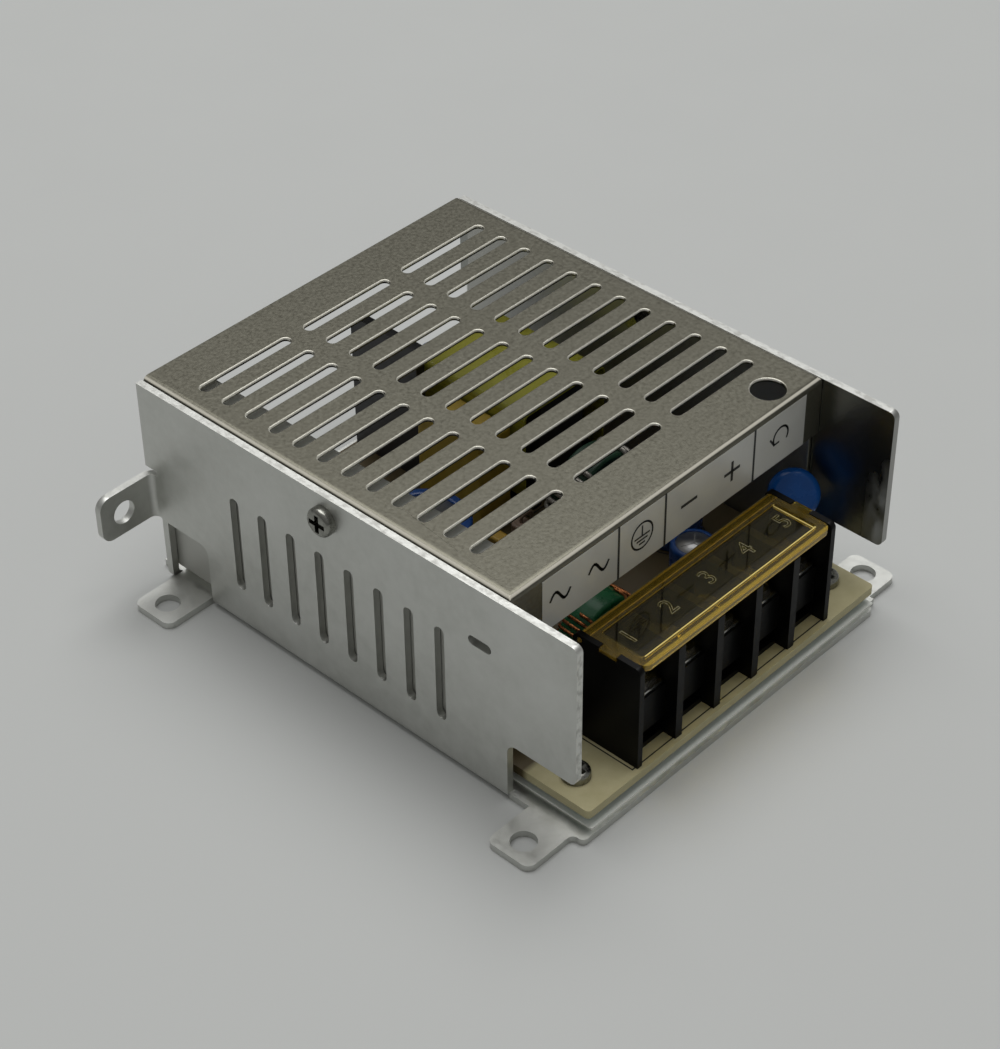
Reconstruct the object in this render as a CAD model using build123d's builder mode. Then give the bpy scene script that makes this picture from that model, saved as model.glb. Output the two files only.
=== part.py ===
from build123d import *
from math import radians, tan
import os

os.makedirs("parts", exist_ok=True)

# Switching power supply in a vented sheet-metal case, drawn in millimetres.
# X runs across the case, Y from the terminal end (-Y) to the open end (+Y), Z up.
# The origin is on the underside of the base plate, midway between the side walls.

# Case: one folded aluminium sheet
case_width = 78.0
case_length = 97.0
wall_height = 40.0
sheet = 1.3
base_bend = 0.5
wall_front = -case_length / 2
wall_back = case_length / 2
wall_outer = case_width / 2
wall_inner = wall_outer - sheet
base_flat = wall_inner - base_bend
wall_corner_radius = 1.2
notch_radius = 2.0

front_notch_back = wall_front + 14.1
front_notch_height = 12.4
back_notch_back = wall_back - 4.3
back_notch_front = back_notch_back - 10.0
back_notch_height = 12.8

base_front = wall_front - 1.4
base_lip_left = -(wall_outer - 0.4)
base_lip_right = wall_outer - 3.8
base_right_edge = wall_outer - 1.6
base_corner_radius = 1.0

tab_width = 9.0
front_tab_y = wall_front + 5.4
back_tab_y = wall_back - 9.2
left_tab_end = -(wall_outer + 9.5)
right_tab_end = wall_outer + 5.8
left_tab_hole_x = left_tab_end + 3.8
right_tab_hole_x = right_tab_end - 3.4
tab_hole_radius = 2.2
tab_corner_radius = 1.6

ear_bottom = 13.1
ear_top = 22.0
ear_end = wall_outer + 11.4
ear_bend = 1.2
ear_hole_x = ear_end - 4.9
ear_hole_z = (ear_bottom + ear_top) / 2 - 0.15
ear_hole_radius = 2.2
ear_corner_radius = 2.2
ear_relief = 1.0
wall_back_below_ear = wall_back - 2.9

side_slot_count = 8
side_slot_pitch = 6.63
side_slot_first_y = wall_back - 22.4
side_slot_width = 2.1
side_slot_bottom = 8.5
side_slot_top = 27.7
latch_slot_y = wall_front + 19.6
latch_slot_z = 29.3
latch_slot_length = 4.8
latch_slot_width = 1.8

# Cover: one folded steel sheet that slips between the walls
cover_sheet = 0.8
cover_gap = 0.1
cover_rise = 0.6
cover_bend = 1.2
cover_front = wall_front + 14.5
cover_back = wall_back - 0.1
cover_outer = wall_inner - cover_gap
cover_top = wall_height + cover_rise
flange_bottom = 2.8
flange_back = wall_back - 2.7
lip_bottom = 29.0
lip_slit = 0.4
lip_slit_top_gap = 1.6

vent_rows = 12
vent_columns = 3
vent_row_pitch = 5.54
vent_column_pitch = 23.4
vent_first_y = cover_back - 10.0
vent_centre_x = -0.3
vent_length = 19.7
vent_width = 2.0

# Screws that hold the cover, one through each side wall
cover_screw_y = 4.2
cover_screw_z = 35.5
m3_shank_radius = 1.45
m3_head_radius = 2.6
m3_head_height = 1.8
m3_tapped_gap = 0.05
m3_through_gap = 0.25
cover_screw_length = 5.2
recess_width = 0.9
recess_length = 3.4
recess_depth = 1.3

# Circuit board on four spacers over an insulating sheet
board_bottom = 3.4
board_thickness = 1.6
board_top = board_bottom + board_thickness
board_left = -(wall_inner - 1.5)
board_right = wall_inner - 1.3
board_front = wall_front - 0.3
board_back = wall_back - 4.1
board_corner_radius = 0.8
spacer_radius = 3.0
spacer_inset_left = 4.7
spacer_inset_right = 4.8
spacer_inset_front = 6.8
spacer_inset_back = 5.4
spacer_places = [
    (board_left + spacer_inset_left, board_front + spacer_inset_front),
    (board_right - spacer_inset_right, board_front + spacer_inset_front),
    (board_left + spacer_inset_left, board_back - spacer_inset_back),
    (board_right - spacer_inset_right, board_back - spacer_inset_back),
]
board_screw_length = 4.6
lead_tip = 2.2
lead_gap = 0.1

film = 0.35
film_gap = 0.1
film_front = wall_front - 0.7
film_side = wall_inner - 1.8
film_flap_front = wall_front + 17.5
film_flap_back = wall_back - 4.5
film_flap_x = -(wall_inner - cover_gap - cover_sheet - film_gap)
film_flap_top = 38.0
film_flap_reach = 9.0
film_fold = 1.2
film_curl = 5.0
film_hole_gap = 0.4

# Terminal block: five poles in one black moulding
pole_count = 5
pole_pitch = 9.5
block_x = 0.2
block_width = pole_count * pole_pitch + 0.9
block_front = wall_front + 0.4
block_back = block_front + 13.7
block_top = 25.5
end_wall = 1.1
fin = 1.6
fin_top = 24.0
rear_wall = 1.2
rear_wall_top = 23.2
floor_front = block_front + 2.5
floor_top = 15.5
foot_slot_bottom = 6.0
foot_slot_top = 8.4
foot_slot_depth = 1.5
pole_xs = [block_x + pole_pitch * (i - (pole_count - 1) / 2) for i in range(pole_count)]
screw_y = block_front + 6.8
contact_thickness = 0.8
contact_front = floor_front + 0.3
contact_back = block_back - 2.2
contact_width = 7.0
contact_pin_width = 1.2
contact_pin_depth = 0.8
contact_pin_y = contact_back - 0.8
contact_gap = 0.15
washer_side = 6.6
washer_thickness = 0.9
washer_bore_gap = 0.1
terminal_shank_radius = 1.7
terminal_bore_gap = 0.08
terminal_head_radius = 3.0
terminal_head_height = 2.4
terminal_screw_length = 6.4
terminal_travel = 3.0
terminal_bore_depth = 7.4

# Hinged see-through cover of the terminal block
lid_thickness = 1.1
lid_top = 25.4
lid_front = block_front
lid_side_gap = 0.1
lid_field_depth = 0.3
lid_field_side = 1.4
lid_field_front = 2.0
lid_field_back = 1.9
lid_corner_radius = 1.5
lid_barrel_radius = 0.9
lid_hinge_y = block_back - 1.3
lid_hinge_z = lid_top - lid_barrel_radius
lid_pin_radius = 0.5
lid_pin_gap = 0.05
lid_tab_y = block_front + 6.6
lid_tab_length = 3.4
lid_tab_height = 0.7
lid_tab_gap = 0.15

# Voltage trimmer under the round hole in the cover
trimmer_x = 28.8
trimmer_y = cover_front + 4.5
trimmer_side = 6.6
trimmer_height = 5.0
trimmer_hole_radius = 3.0
rotor_radius = 2.2
rotor_gap = 0.05
rotor_rise = 0.8
rotor_depth = 1.6
rotor_slot = 0.7

# Solder joints under the board
solder_width = 0.5
solder_height = 0.8
fine_lead = 0.3
stout_lead = 0.45

# Electrolytic cans: x, y, radius, top
bulk_can = (-23.7, -2.0, 8.0, 30.0)
front_can = (12.7, cover_front + 5.6, 4.0, 17.5)
middle_can = (24.0, -15.0, 5.0, 21.0)
back_can = (22.0, board_back - 5.4, 4.0, 19.0)
can_groove_height = 2.4
can_groove_depth = 0.4
can_rim = 0.6

# Line choke and output inductor: rings standing on the board across the case
choke_x = -11.5
choke_y = cover_front + 5.5
choke_ring_radius = 8.0
choke_ring_hole = 4.2
choke_ring_width = 5.0
choke_winding = 0.8
inductor_x = 15.5
inductor_y = -4.0
inductor_ring_radius = 8.5
inductor_ring_hole = 4.6
inductor_ring_width = 6.0
inductor_winding = 1.0
winding_gap_angle = 28.0

# Disc capacitor leaning beside the trimmer
disc_x = 32.2
disc_y = cover_front + 0.2
disc_z = 19.1
disc_radius = 4.5
disc_half_width = 1.7
disc_turn = 46.5
disc_lean = 39.0
disc_lead_drop = 3.4
disc_lead_span = 4.0

# Fuse in two clips
fuse_x = -30.0
fuse_y = -21.5
fuse_length = 20.0
fuse_radius = 2.6
fuse_cap_length = 5.0
fuse_clip_length = 4.0
clip_sheet = 0.4
clip_height = 5.4

# Thermistor and line capacitors
thermistor_x = -20.5
thermistor_y = -17.0
thermistor_radius = 4.5
thermistor_width = 3.0
x_capacitor_y = 17.0
x_capacitor_width = 7.7
x_capacitor_length = 15.0
x_capacitor_top = 24.0
y_capacitor_x = -9.0
y_capacitor_y = 13.0
y_capacitor_radius = 3.6
y_capacitor_width = 2.8

# Transformer: upright bobbin with its winding, a core of two E halves and an outer wrap
transformer_x = 20.1
transformer_y = 19.45
wrap_width = 20.6
wrap_length = 25.3
x_capacitor_x = transformer_x - wrap_width / 2 - 0.5 - x_capacitor_width / 2
wrap_top = 27.0
wrap_thickness = 0.35
wrap_bottom = 9.5
core_length = 23.7
core_width = 11.0
core_bar = 3.2
core_bottom = 6.2
core_leg = 6.6
bobbin_wall = 0.9
bobbin_flange = 1.1
bobbin_rail_width = 3.4
bobbin_pin_pitch = 5.0
bobbin_pin_count = 4

# Heat sinks and the packages screwed to them
right_sink_x = 5.3
right_sink_thickness = 2.0
right_sink_back = board_back - 0.4
right_sink_front = right_sink_back - 16.0
right_sink_top = 33.0
rectifier_y = right_sink_back - 5.4
left_sink_x = -27.0
left_sink_thickness = 1.6
left_sink_back = board_back - 1.0
left_sink_front = left_sink_back - 17.4
left_sink_top = 25.0
transistor_y = left_sink_front + 5.5
package_width = 10.0
package_height = 9.0
package_tab_height = 15.4
package_tab = 1.3
package_depth = 4.5
package_bottom = 9.5
package_hole_drop = 2.8
package_pin_pitch = 2.54
package_pin_inset = 2.6

# Small parts on the board
bridge_x = -32.7
bridge_y = 16.5
bridge_width = 3.6
bridge_length = 15.0
bridge_top = 18.0
bridge_bottom = 7.0
snubber_x = -4.5
snubber_y = 0.0
snubber_width = 2.6
snubber_length = 7.0
snubber_top = 14.0
upright_resistor_x = 1.5
upright_resistor_y = 0.0
upright_resistor_radius = 1.7
upright_resistor_top = 13.0
upright_resistor_return = 2.6
resistor_radius = 1.2
resistor_length = 6.4
resistor_span = 10.0
resistor_x = -22.0
resistor_ys = [11.0, 14.5, 18.0]
diode_radius = 1.35
diode_length = 5.2
diode_x = -22.0
diode_ys = [21.8, 25.2]
controller_x = -10.0
controller_y = board_back - 14.4
controller_length = 9.6
controller_width = 6.4
controller_height = 3.3
opto_x = -12.0
opto_y = 21.0
opto_length = 4.6
chip_lead_width = 0.5
chip_pitch = 2.54
chip_row_span = 7.62

lead_holes = []


def leads(places, radius, top):
    """Round leads from the board's underside up into a body, each with its solder cone."""
    for place in places:
        lead_holes.append((place[0], place[1], radius + lead_gap))
    with BuildPart(mode=Mode.PRIVATE) as wires:
        with BuildSketch(Plane.XY.offset(lead_tip)):
            with Locations(*places):
                Circle(radius)
        extrude(amount=top - lead_tip)
        with BuildSketch(Plane.XY.offset(board_bottom)):
            with Locations(*places):
                Circle(radius + solder_width)
        extrude(amount=-solder_height, taper=25)
    return wires.part


# Chassis
with BuildPart() as chassis:
    with BuildSketch(Plane.XZ.offset(-wall_back)):
        with BuildLine():
            FilletPolyline(
                (-wall_outer, wall_height),
                (-wall_outer, 0),
                (wall_outer, 0),
                (wall_outer, wall_height),
                radius=base_bend + sheet,
            )
            offset(amount=sheet, side=Side.LEFT)
        make_face()
    extrude(amount=case_length)

    for side in (-1, 1):
        # Notches over the mounting tabs, cut from the fold of the base up the wall
        with BuildSketch(Plane.YZ.offset(side * base_flat)) as notches:
            with Locations(((wall_front - 1 + front_notch_back) / 2, front_notch_height / 2 - 0.5)):
                Rectangle(front_notch_back - wall_front + 1, front_notch_height + 1)
            with Locations(((back_notch_front + back_notch_back) / 2, back_notch_height / 2 - 0.5)):
                Rectangle(back_notch_back - back_notch_front, back_notch_height + 1)
            fillet(notches.vertices().sort_by_distance((front_notch_back, front_notch_height))[0], notch_radius)
            fillet(notches.vertices().sort_by_distance((back_notch_front, back_notch_height))[0], notch_radius)
            with Locations(((wall_back_below_ear + wall_back + 1) / 2, ear_bottom / 2 - 0.5)):
                Rectangle(wall_back + 1 - wall_back_below_ear, ear_bottom + 1)
        extrude(amount=side * (sheet + base_bend + 1), mode=Mode.SUBTRACT)
        # The wall makes room for the ear's bend, with a relief above it
        with BuildSketch(Plane.YZ.offset(side * (wall_inner - 0.5))):
            relief_top = ear_top + ear_relief
            with Locations(((wall_back_below_ear + wall_back + 1) / 2, (ear_bottom - 0.5 + relief_top) / 2)):
                Rectangle(wall_back + 1 - wall_back_below_ear, relief_top - ear_bottom + 0.5)
        extrude(amount=side * (sheet + 1), mode=Mode.SUBTRACT)
        # Ear bent outwards from the wall's back edge
        with BuildSketch(Plane.XY.offset(ear_bottom)) as ear:
            with BuildLine():
                Polyline(
                    (side * wall_outer, back_notch_back),
                    (side * wall_inner, back_notch_back),
                    (side * wall_inner, wall_back),
                    (side * ear_end, wall_back),
                    (side * ear_end, wall_back - sheet),
                    (side * wall_outer, wall_back - sheet),
                    close=True,
                )
            make_face()
            fillet(ear.vertices().sort_by_distance((side * wall_inner, wall_back))[0], ear_bend + sheet)
            fillet(ear.vertices().sort_by_distance((side * wall_outer, wall_back - sheet))[0], ear_bend)
        extrude(amount=ear_top - ear_bottom)
        ear_corners = chassis.edges().filter_by(Axis.Y).filter_by_position(
            Axis.X, side * ear_end - 0.1, side * ear_end + 0.1
        )
        fillet(ear_corners, ear_corner_radius)
        with BuildSketch(Plane.XZ.offset(-wall_back - 1)):
            with Locations((side * ear_hole_x, ear_hole_z)):
                Circle(ear_hole_radius)
        extrude(amount=sheet + 2, mode=Mode.SUBTRACT)

    # Front of the base with its two tabs, and the back tabs
    with BuildSketch(Plane.XY) as base_front_outline:
        tab_front = front_tab_y - tab_width / 2
        tab_back = front_tab_y + tab_width / 2
        with BuildLine():
            Polyline(
                (base_lip_left, front_notch_back),
                (base_lip_left, tab_back),
                (left_tab_end, tab_back),
                (left_tab_end, tab_front),
                (base_lip_left, tab_front),
                (base_lip_left, base_front),
                (base_lip_right, base_front),
                (base_lip_right, tab_front),
                (right_tab_end, tab_front),
                (right_tab_end, tab_back),
                (base_right_edge, tab_back),
                (base_right_edge, front_notch_back),
                close=True,
            )
        make_face()
        tab_tips = [(left_tab_end, tab_back), (left_tab_end, tab_front)]
        tab_tips += [(right_tab_end, tab_back), (right_tab_end, tab_front)]
        for tip in tab_tips:
            fillet(base_front_outline.vertices().sort_by_distance(tip)[0], tab_corner_radius)
        lip_tips = [(base_lip_left, base_front), (base_lip_right, base_front)]
        lip_tips += [(base_lip_left, tab_front), (base_lip_right, tab_front)]
        for tip in lip_tips:
            fillet(base_front_outline.vertices().sort_by_distance(tip)[0], base_corner_radius)
    extrude(amount=sheet)
    for tab_end in (left_tab_end, right_tab_end):
        with BuildSketch(Plane.XY) as back_tab:
            inner = base_flat * tab_end / abs(tab_end)
            with Locations(((inner + tab_end) / 2, back_tab_y)):
                Rectangle(abs(tab_end - inner), tab_width)
            tips = back_tab.vertices().sort_by(Axis.X)
            fillet(tips[:2] if tab_end < 0 else tips[-2:], tab_corner_radius)
        extrude(amount=sheet)
    with BuildSketch(Plane.XY.offset(-1)):
        with Locations(
            (left_tab_hole_x, front_tab_y),
            (left_tab_hole_x, back_tab_y),
            (right_tab_hole_x, front_tab_y),
            (right_tab_hole_x, back_tab_y),
        ):
            Circle(tab_hole_radius)
    extrude(amount=sheet + 2, mode=Mode.SUBTRACT)

    # Ventilation slots, latch slots and screw holes through both walls
    with BuildSketch(Plane.YZ):
        slot_z = (side_slot_bottom + side_slot_top) / 2
        slot_ys = [side_slot_first_y - side_slot_pitch * i for i in range(side_slot_count)]
        with Locations(*[(y, slot_z) for y in slot_ys]):
            SlotOverall(side_slot_top - side_slot_bottom, side_slot_width, rotation=90)
        with Locations((latch_slot_y, latch_slot_z)):
            SlotOverall(latch_slot_length, latch_slot_width)
        with Locations((cover_screw_y, cover_screw_z)):
            Circle(m3_shank_radius + m3_through_gap)
    extrude(amount=wall_outer + 1, both=True, mode=Mode.SUBTRACT)

    front_edges = chassis.edges().filter_by(Axis.X).filter_by_position(Axis.Y, wall_front - 0.1, wall_front + 0.1)
    fillet(front_edges.filter_by_position(Axis.Z, front_notch_height - 1, wall_height + 1), wall_corner_radius)
chassis.part.label = "chassis"
export_step(chassis.part, "parts/chassis.step")

# Cover
with BuildPart() as cover:
    with BuildSketch(Plane.XY.offset(flange_bottom)):
        with Locations((0, (cover_front + cover_back) / 2)):
            Rectangle(2 * cover_outer, cover_back - cover_front)
    extrude(amount=cover_top - flange_bottom)
    top_face = cover.faces().sort_by(Axis.Z)[-1]
    bent_edges = top_face.edges().sort_by(Axis.Y)[:3]
    fillet(bent_edges, cover_bend)
    open_faces = [cover.faces().sort_by(Axis.Z)[0], cover.faces().sort_by(Axis.Y)[-1]]
    offset(amount=-cover_sheet, openings=open_faces)
    # The front stays as a short lip, slit free from the flanges
    with BuildSketch(Plane.XZ.offset(-cover_front + 1)):
        with Locations((0, (flange_bottom + lip_bottom) / 2 - 1)):
            Rectangle(2 * cover_outer + 2, lip_bottom - flange_bottom + 2)
    extrude(amount=-(cover_sheet + lip_slit + 1), mode=Mode.SUBTRACT)
    slit_top = cover_top - lip_slit_top_gap
    for side in (-1, 1):
        with BuildSketch(Plane.XY.offset(lip_bottom - 1)):
            with Locations((side * cover_outer, cover_front + cover_sheet + lip_slit / 2)):
                Rectangle(2 * cover_sheet + 1, lip_slit)
        extrude(amount=slit_top - lip_bottom + 1, mode=Mode.SUBTRACT)
    # The flanges stop short of the walls' back end
    with BuildSketch(Plane.YZ):
        with Locations(((flange_back + cover_back) / 2 + 1, (flange_bottom + cover_top) / 2 - cover_bend)):
            Rectangle(cover_back - flange_back + 2, cover_top - flange_bottom)
    extrude(amount=cover_outer + 1, both=True, mode=Mode.SUBTRACT)
    # Ventilation slots and the hole over the trimmer
    with BuildSketch(Plane.XY.offset(cover_top - 2 * cover_sheet)):
        vent_centre_y = vent_first_y - vent_row_pitch * (vent_rows - 1) / 2
        with Locations((vent_centre_x, vent_centre_y)):
            with GridLocations(vent_column_pitch, vent_row_pitch, vent_columns, vent_rows):
                SlotOverall(vent_length, vent_width)
        with Locations((trimmer_x, trimmer_y)):
            Circle(trimmer_hole_radius)
    extrude(amount=3 * cover_sheet, mode=Mode.SUBTRACT)
    with BuildSketch(Plane.YZ):
        with Locations((cover_screw_y, cover_screw_z)):
            Circle(m3_shank_radius + m3_tapped_gap)
    extrude(amount=cover_outer + 1, both=True, mode=Mode.SUBTRACT)
cover.part.label = "cover"
export_step(cover.part, "parts/cover.step")


def pan_screw(head_plane, head_radius, head_height, shank_radius, length):
    """Pan-head screw whose head seats on this plane and points along its normal."""
    with BuildPart() as screw:
        with BuildSketch(head_plane):
            Circle(head_radius)
        extrude(amount=head_height)
        top_plane = head_plane.offset(head_height)
        top = screw.faces().filter_by(GeomType.PLANE).sort_by_distance(top_plane.origin)[0]
        fillet(top.edges(), head_height * 0.45)
        with BuildSketch(head_plane):
            Circle(shank_radius)
        extrude(amount=-length)
        with BuildSketch(top_plane):
            Rectangle(recess_length, recess_width)
            Rectangle(recess_width, recess_length)
        extrude(amount=-recess_depth, mode=Mode.SUBTRACT)
    return screw.part


# Cover screws
for side, name in ((-1, "cover_screw_left"), (1, "cover_screw_right")):
    seat = Plane(
        origin=(side * wall_outer, cover_screw_y, cover_screw_z),
        x_dir=(0, 1, 0),
        z_dir=(side, 0, 0),
    )
    cover_screw = pan_screw(seat, m3_head_radius, m3_head_height, m3_shank_radius, cover_screw_length)
    cover_screw.label = name
    export_step(cover_screw, f"parts/{name}.step")

# Board spacers and board screws, four of each
with BuildPart() as board_spacers:
    with BuildSketch(Plane.XY.offset(sheet)):
        with Locations(*spacer_places):
            Circle(spacer_radius)
            Circle(m3_shank_radius + m3_tapped_gap, mode=Mode.SUBTRACT)
    extrude(amount=board_bottom - sheet)
board_spacers.part.label = "board_spacers"
export_step(board_spacers.part, "parts/board_spacers.step")

board_screw_solids = []
board_screw_length = board_top - sheet - 0.2
for place in spacer_places:
    seat = Plane(origin=(place[0], place[1], board_top))
    board_screw = pan_screw(seat, m3_head_radius - 0.2, m3_head_height, m3_shank_radius, board_screw_length)
    board_screw_solids.append(board_screw)
board_screws = Compound(label="board_screws", children=board_screw_solids)
export_step(board_screws, "parts/board_screws.step")

# Insulation sheet: flat under the board, its left flap turned up and curled inwards
with BuildPart() as insulation_sheet:
    with BuildSketch(Plane.XY.offset(sheet)):
        with Locations((0, (film_front + film_flap_back) / 2)):
            Rectangle(2 * film_side, film_flap_back - film_front)
    extrude(amount=film)
    with BuildSketch(Plane.XZ.offset(-film_flap_back)):
        with BuildLine():
            FilletPolyline(
                (0, sheet),
                (film_flap_x, sheet),
                (film_flap_x, film_flap_top),
                (film_flap_x + film_flap_reach, film_flap_top),
                radius=(film_fold, film_curl),
            )
            offset(amount=film, side=Side.RIGHT)
        make_face()
    extrude(amount=film_flap_back - film_flap_front)
    with BuildSketch(Plane.XY.offset(sheet - 1)):
        with Locations(*spacer_places):
            Circle(spacer_radius + film_hole_gap)
    extrude(amount=film + 2, mode=Mode.SUBTRACT)
    # Clearance hole for the tip of the left cover screw
    with BuildSketch(Plane.YZ.offset(film_flap_x - 1)):
        with Locations((cover_screw_y, cover_screw_z)):
            Circle(m3_shank_radius + 2 * film_hole_gap)
    extrude(amount=film_flap_reach, mode=Mode.SUBTRACT)
insulation_sheet.part.label = "insulation_sheet"
export_step(insulation_sheet.part, "parts/insulation_sheet.step")

# Terminal block housing
block_left = block_x - block_width / 2
block_right = block_x + block_width / 2
fin_xs = [block_x + pole_pitch * (i - (pole_count - 2) / 2) for i in range(pole_count - 1)]
fin_step = lid_hinge_y - lid_barrel_radius - 0.4
with BuildPart() as terminal_block:
    with BuildSketch(Plane.XY.offset(board_top)):
        with Locations((block_x, (floor_front + block_back) / 2)):
            Rectangle(block_width, block_back - floor_front)
    extrude(amount=floor_top - board_top)
    with BuildSketch(Plane.XY.offset(board_top)):
        with Locations((block_x, block_back - rear_wall / 2)):
            Rectangle(block_width, rear_wall)
    extrude(amount=rear_wall_top - board_top)
    for x in fin_xs:
        with BuildSketch(Plane.YZ.offset(x - fin / 2)):
            with BuildLine():
                Polyline(
                    (block_front, board_top),
                    (block_front, fin_top),
                    (fin_step, fin_top),
                    (fin_step, rear_wall_top),
                    (block_back, rear_wall_top),
                    (block_back, board_top),
                    close=True,
                )
            make_face()
        extrude(amount=fin)
    for x in (block_left, block_right - end_wall):
        with BuildSketch(Plane.YZ.offset(x)):
            with Locations(((block_front + block_back) / 2, (board_top + block_top) / 2)):
                Rectangle(block_back - block_front, block_top - board_top)
        extrude(amount=end_wall)
    top_corners = terminal_block.edges().filter_by(Axis.X).filter_by_position(Axis.Z, block_top - 0.1, block_top + 0.1)
    fillet(top_corners, 1.0)
    # Notches for the side tabs of the see-through cover, and its hinge holes
    with BuildSketch(Plane.YZ.offset(block_left - 1)):
        with Locations((lid_tab_y, block_top)):
            Rectangle(lid_tab_length + 2 * lid_tab_gap, 2 * (block_top - lid_top + lid_tab_height + lid_tab_gap))
        with Locations((lid_hinge_y, lid_hinge_z)):
            Circle(lid_pin_radius + lid_pin_gap)
    extrude(amount=block_width + 2, mode=Mode.SUBTRACT)
    # Long slot in each pole's front face
    for x in pole_xs:
        with BuildSketch(Plane.XZ.offset(-floor_front)):
            with Locations((x, (foot_slot_bottom + foot_slot_top) / 2)):
                Rectangle(pole_pitch - fin, foot_slot_top - foot_slot_bottom)
        extrude(amount=-foot_slot_depth, mode=Mode.SUBTRACT)
        with BuildSketch(Plane.XY.offset(floor_top)):
            with Locations((x, screw_y)):
                Circle(terminal_shank_radius + terminal_bore_gap)
        extrude(amount=-terminal_bore_depth, mode=Mode.SUBTRACT)
        with BuildSketch(Plane.XY.offset(floor_top)):
            with Locations((x, contact_pin_y)):
                Rectangle(contact_pin_width + 2 * contact_gap, contact_pin_depth + 2 * contact_gap)
        extrude(amount=-(floor_top - board_top + 1), mode=Mode.SUBTRACT)
terminal_block.part.label = "terminal_block"
export_step(terminal_block.part, "parts/terminal_block.step")

# Contact strips, one in each pole, with pins through the housing and the board
with BuildPart() as contact_strips:
    with BuildSketch(Plane.XY.offset(floor_top)):
        with Locations(*[(x, (contact_front + contact_back) / 2) for x in pole_xs]):
            Rectangle(contact_width, contact_back - contact_front)
        with Locations(*[(x, screw_y) for x in pole_xs]):
            Circle(terminal_shank_radius + terminal_bore_gap, mode=Mode.SUBTRACT)
    extrude(amount=contact_thickness)
    with BuildSketch(Plane.XY.offset(lead_tip)):
        with Locations(*[(x, contact_pin_y) for x in pole_xs]):
            Rectangle(contact_pin_width, contact_pin_depth)
    extrude(amount=floor_top - lead_tip)
contact_strips.part.label = "contact_strips"
export_step(contact_strips.part, "parts/contact_strips.step")

# Clamp washers and terminal screws
washer_bottom = floor_top + contact_thickness
washer_top = washer_bottom + washer_thickness
for number, x in enumerate(pole_xs, start=1):
    with BuildPart() as washer:
        with BuildSketch(Plane.XY.offset(washer_bottom)) as washer_outline:
            with Locations((x, screw_y)):
                Rectangle(washer_side, washer_side)
            fillet(washer_outline.vertices(), 0.6)
            with Locations((x, screw_y)):
                Circle(terminal_shank_radius + washer_bore_gap, mode=Mode.SUBTRACT)
        extrude(amount=washer_thickness)
    washer.part.label = f"clamp_washer_{number}"
    export_step(washer.part, f"parts/clamp_washer_{number}.step")
    seat = Plane(origin=(x, screw_y, washer_top))
    terminal_screw = pan_screw(
        seat, terminal_head_radius, terminal_head_height, terminal_shank_radius, terminal_screw_length
    )
    terminal_screw.label = f"terminal_screw_{number}"
    export_step(terminal_screw, f"parts/terminal_screw_{number}.step")

# See-through hinged cover of the terminal block
lid_width = block_width - 2 * (end_wall + lid_side_gap)
lid_field_length = lid_hinge_y - lid_front - lid_field_front - lid_field_back
with BuildPart() as terminal_cover:
    with BuildSketch(Plane.XY.offset(lid_top - lid_thickness)) as lid_outline:
        with Locations((block_x, (lid_front + lid_hinge_y) / 2)):
            Rectangle(lid_width, lid_hinge_y - lid_front)
        fillet(lid_outline.vertices().sort_by(Axis.Y)[:2], lid_corner_radius)
    extrude(amount=lid_thickness)
    with BuildSketch(Plane.XY.offset(lid_top)) as lid_field:
        with Locations((block_x, lid_front + lid_field_front + lid_field_length / 2)):
            Rectangle(lid_width - 2 * lid_field_side, lid_field_length)
        fillet(lid_field.vertices(), lid_corner_radius / 2)
    extrude(amount=-lid_field_depth, mode=Mode.SUBTRACT)
    with BuildSketch(Plane.YZ.offset(block_x - lid_width / 2)):
        with Locations((lid_hinge_y, lid_hinge_z)):
            Circle(lid_barrel_radius)
    extrude(amount=lid_width)
    with BuildSketch(Plane.YZ.offset(block_left)):
        with Locations((lid_hinge_y, lid_hinge_z)):
            Circle(lid_pin_radius)
    extrude(amount=block_width)
    with BuildSketch(Plane.XY.offset(lid_top - lid_tab_height)):
        for side in (-1, 1):
            with Locations((block_x + side * (block_width - end_wall) / 2, lid_tab_y)):
                Rectangle(end_wall + 2 * lid_side_gap, lid_tab_length)
    extrude(amount=lid_tab_height)
terminal_cover.part.label = "terminal_cover"
export_step(terminal_cover.part, "parts/terminal_cover.step")

# Trimmer: square body with a slotted rotor in its blind bore
trimmer_top = board_top + trimmer_height
trimmer_leads = [(trimmer_x - 2, trimmer_y - 2), (trimmer_x + 2, trimmer_y - 2), (trimmer_x, trimmer_y + 2)]
with BuildPart() as trimmer_body:
    with BuildSketch(Plane.XY.offset(board_top)):
        with Locations((trimmer_x, trimmer_y)):
            Rectangle(trimmer_side, trimmer_side)
    extrude(amount=trimmer_height)
    chamfer(trimmer_body.edges().group_by(Axis.Z)[-1], 0.4)
    with BuildSketch(Plane.XY.offset(trimmer_top)):
        with Locations((trimmer_x, trimmer_y)):
            Circle(rotor_radius + rotor_gap)
    extrude(amount=-rotor_depth, mode=Mode.SUBTRACT)
    add(leads(trimmer_leads, fine_lead, board_top + 1))
trimmer_body.part.label = "trimmer_body"
export_step(trimmer_body.part, "parts/trimmer_body.step")

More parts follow.
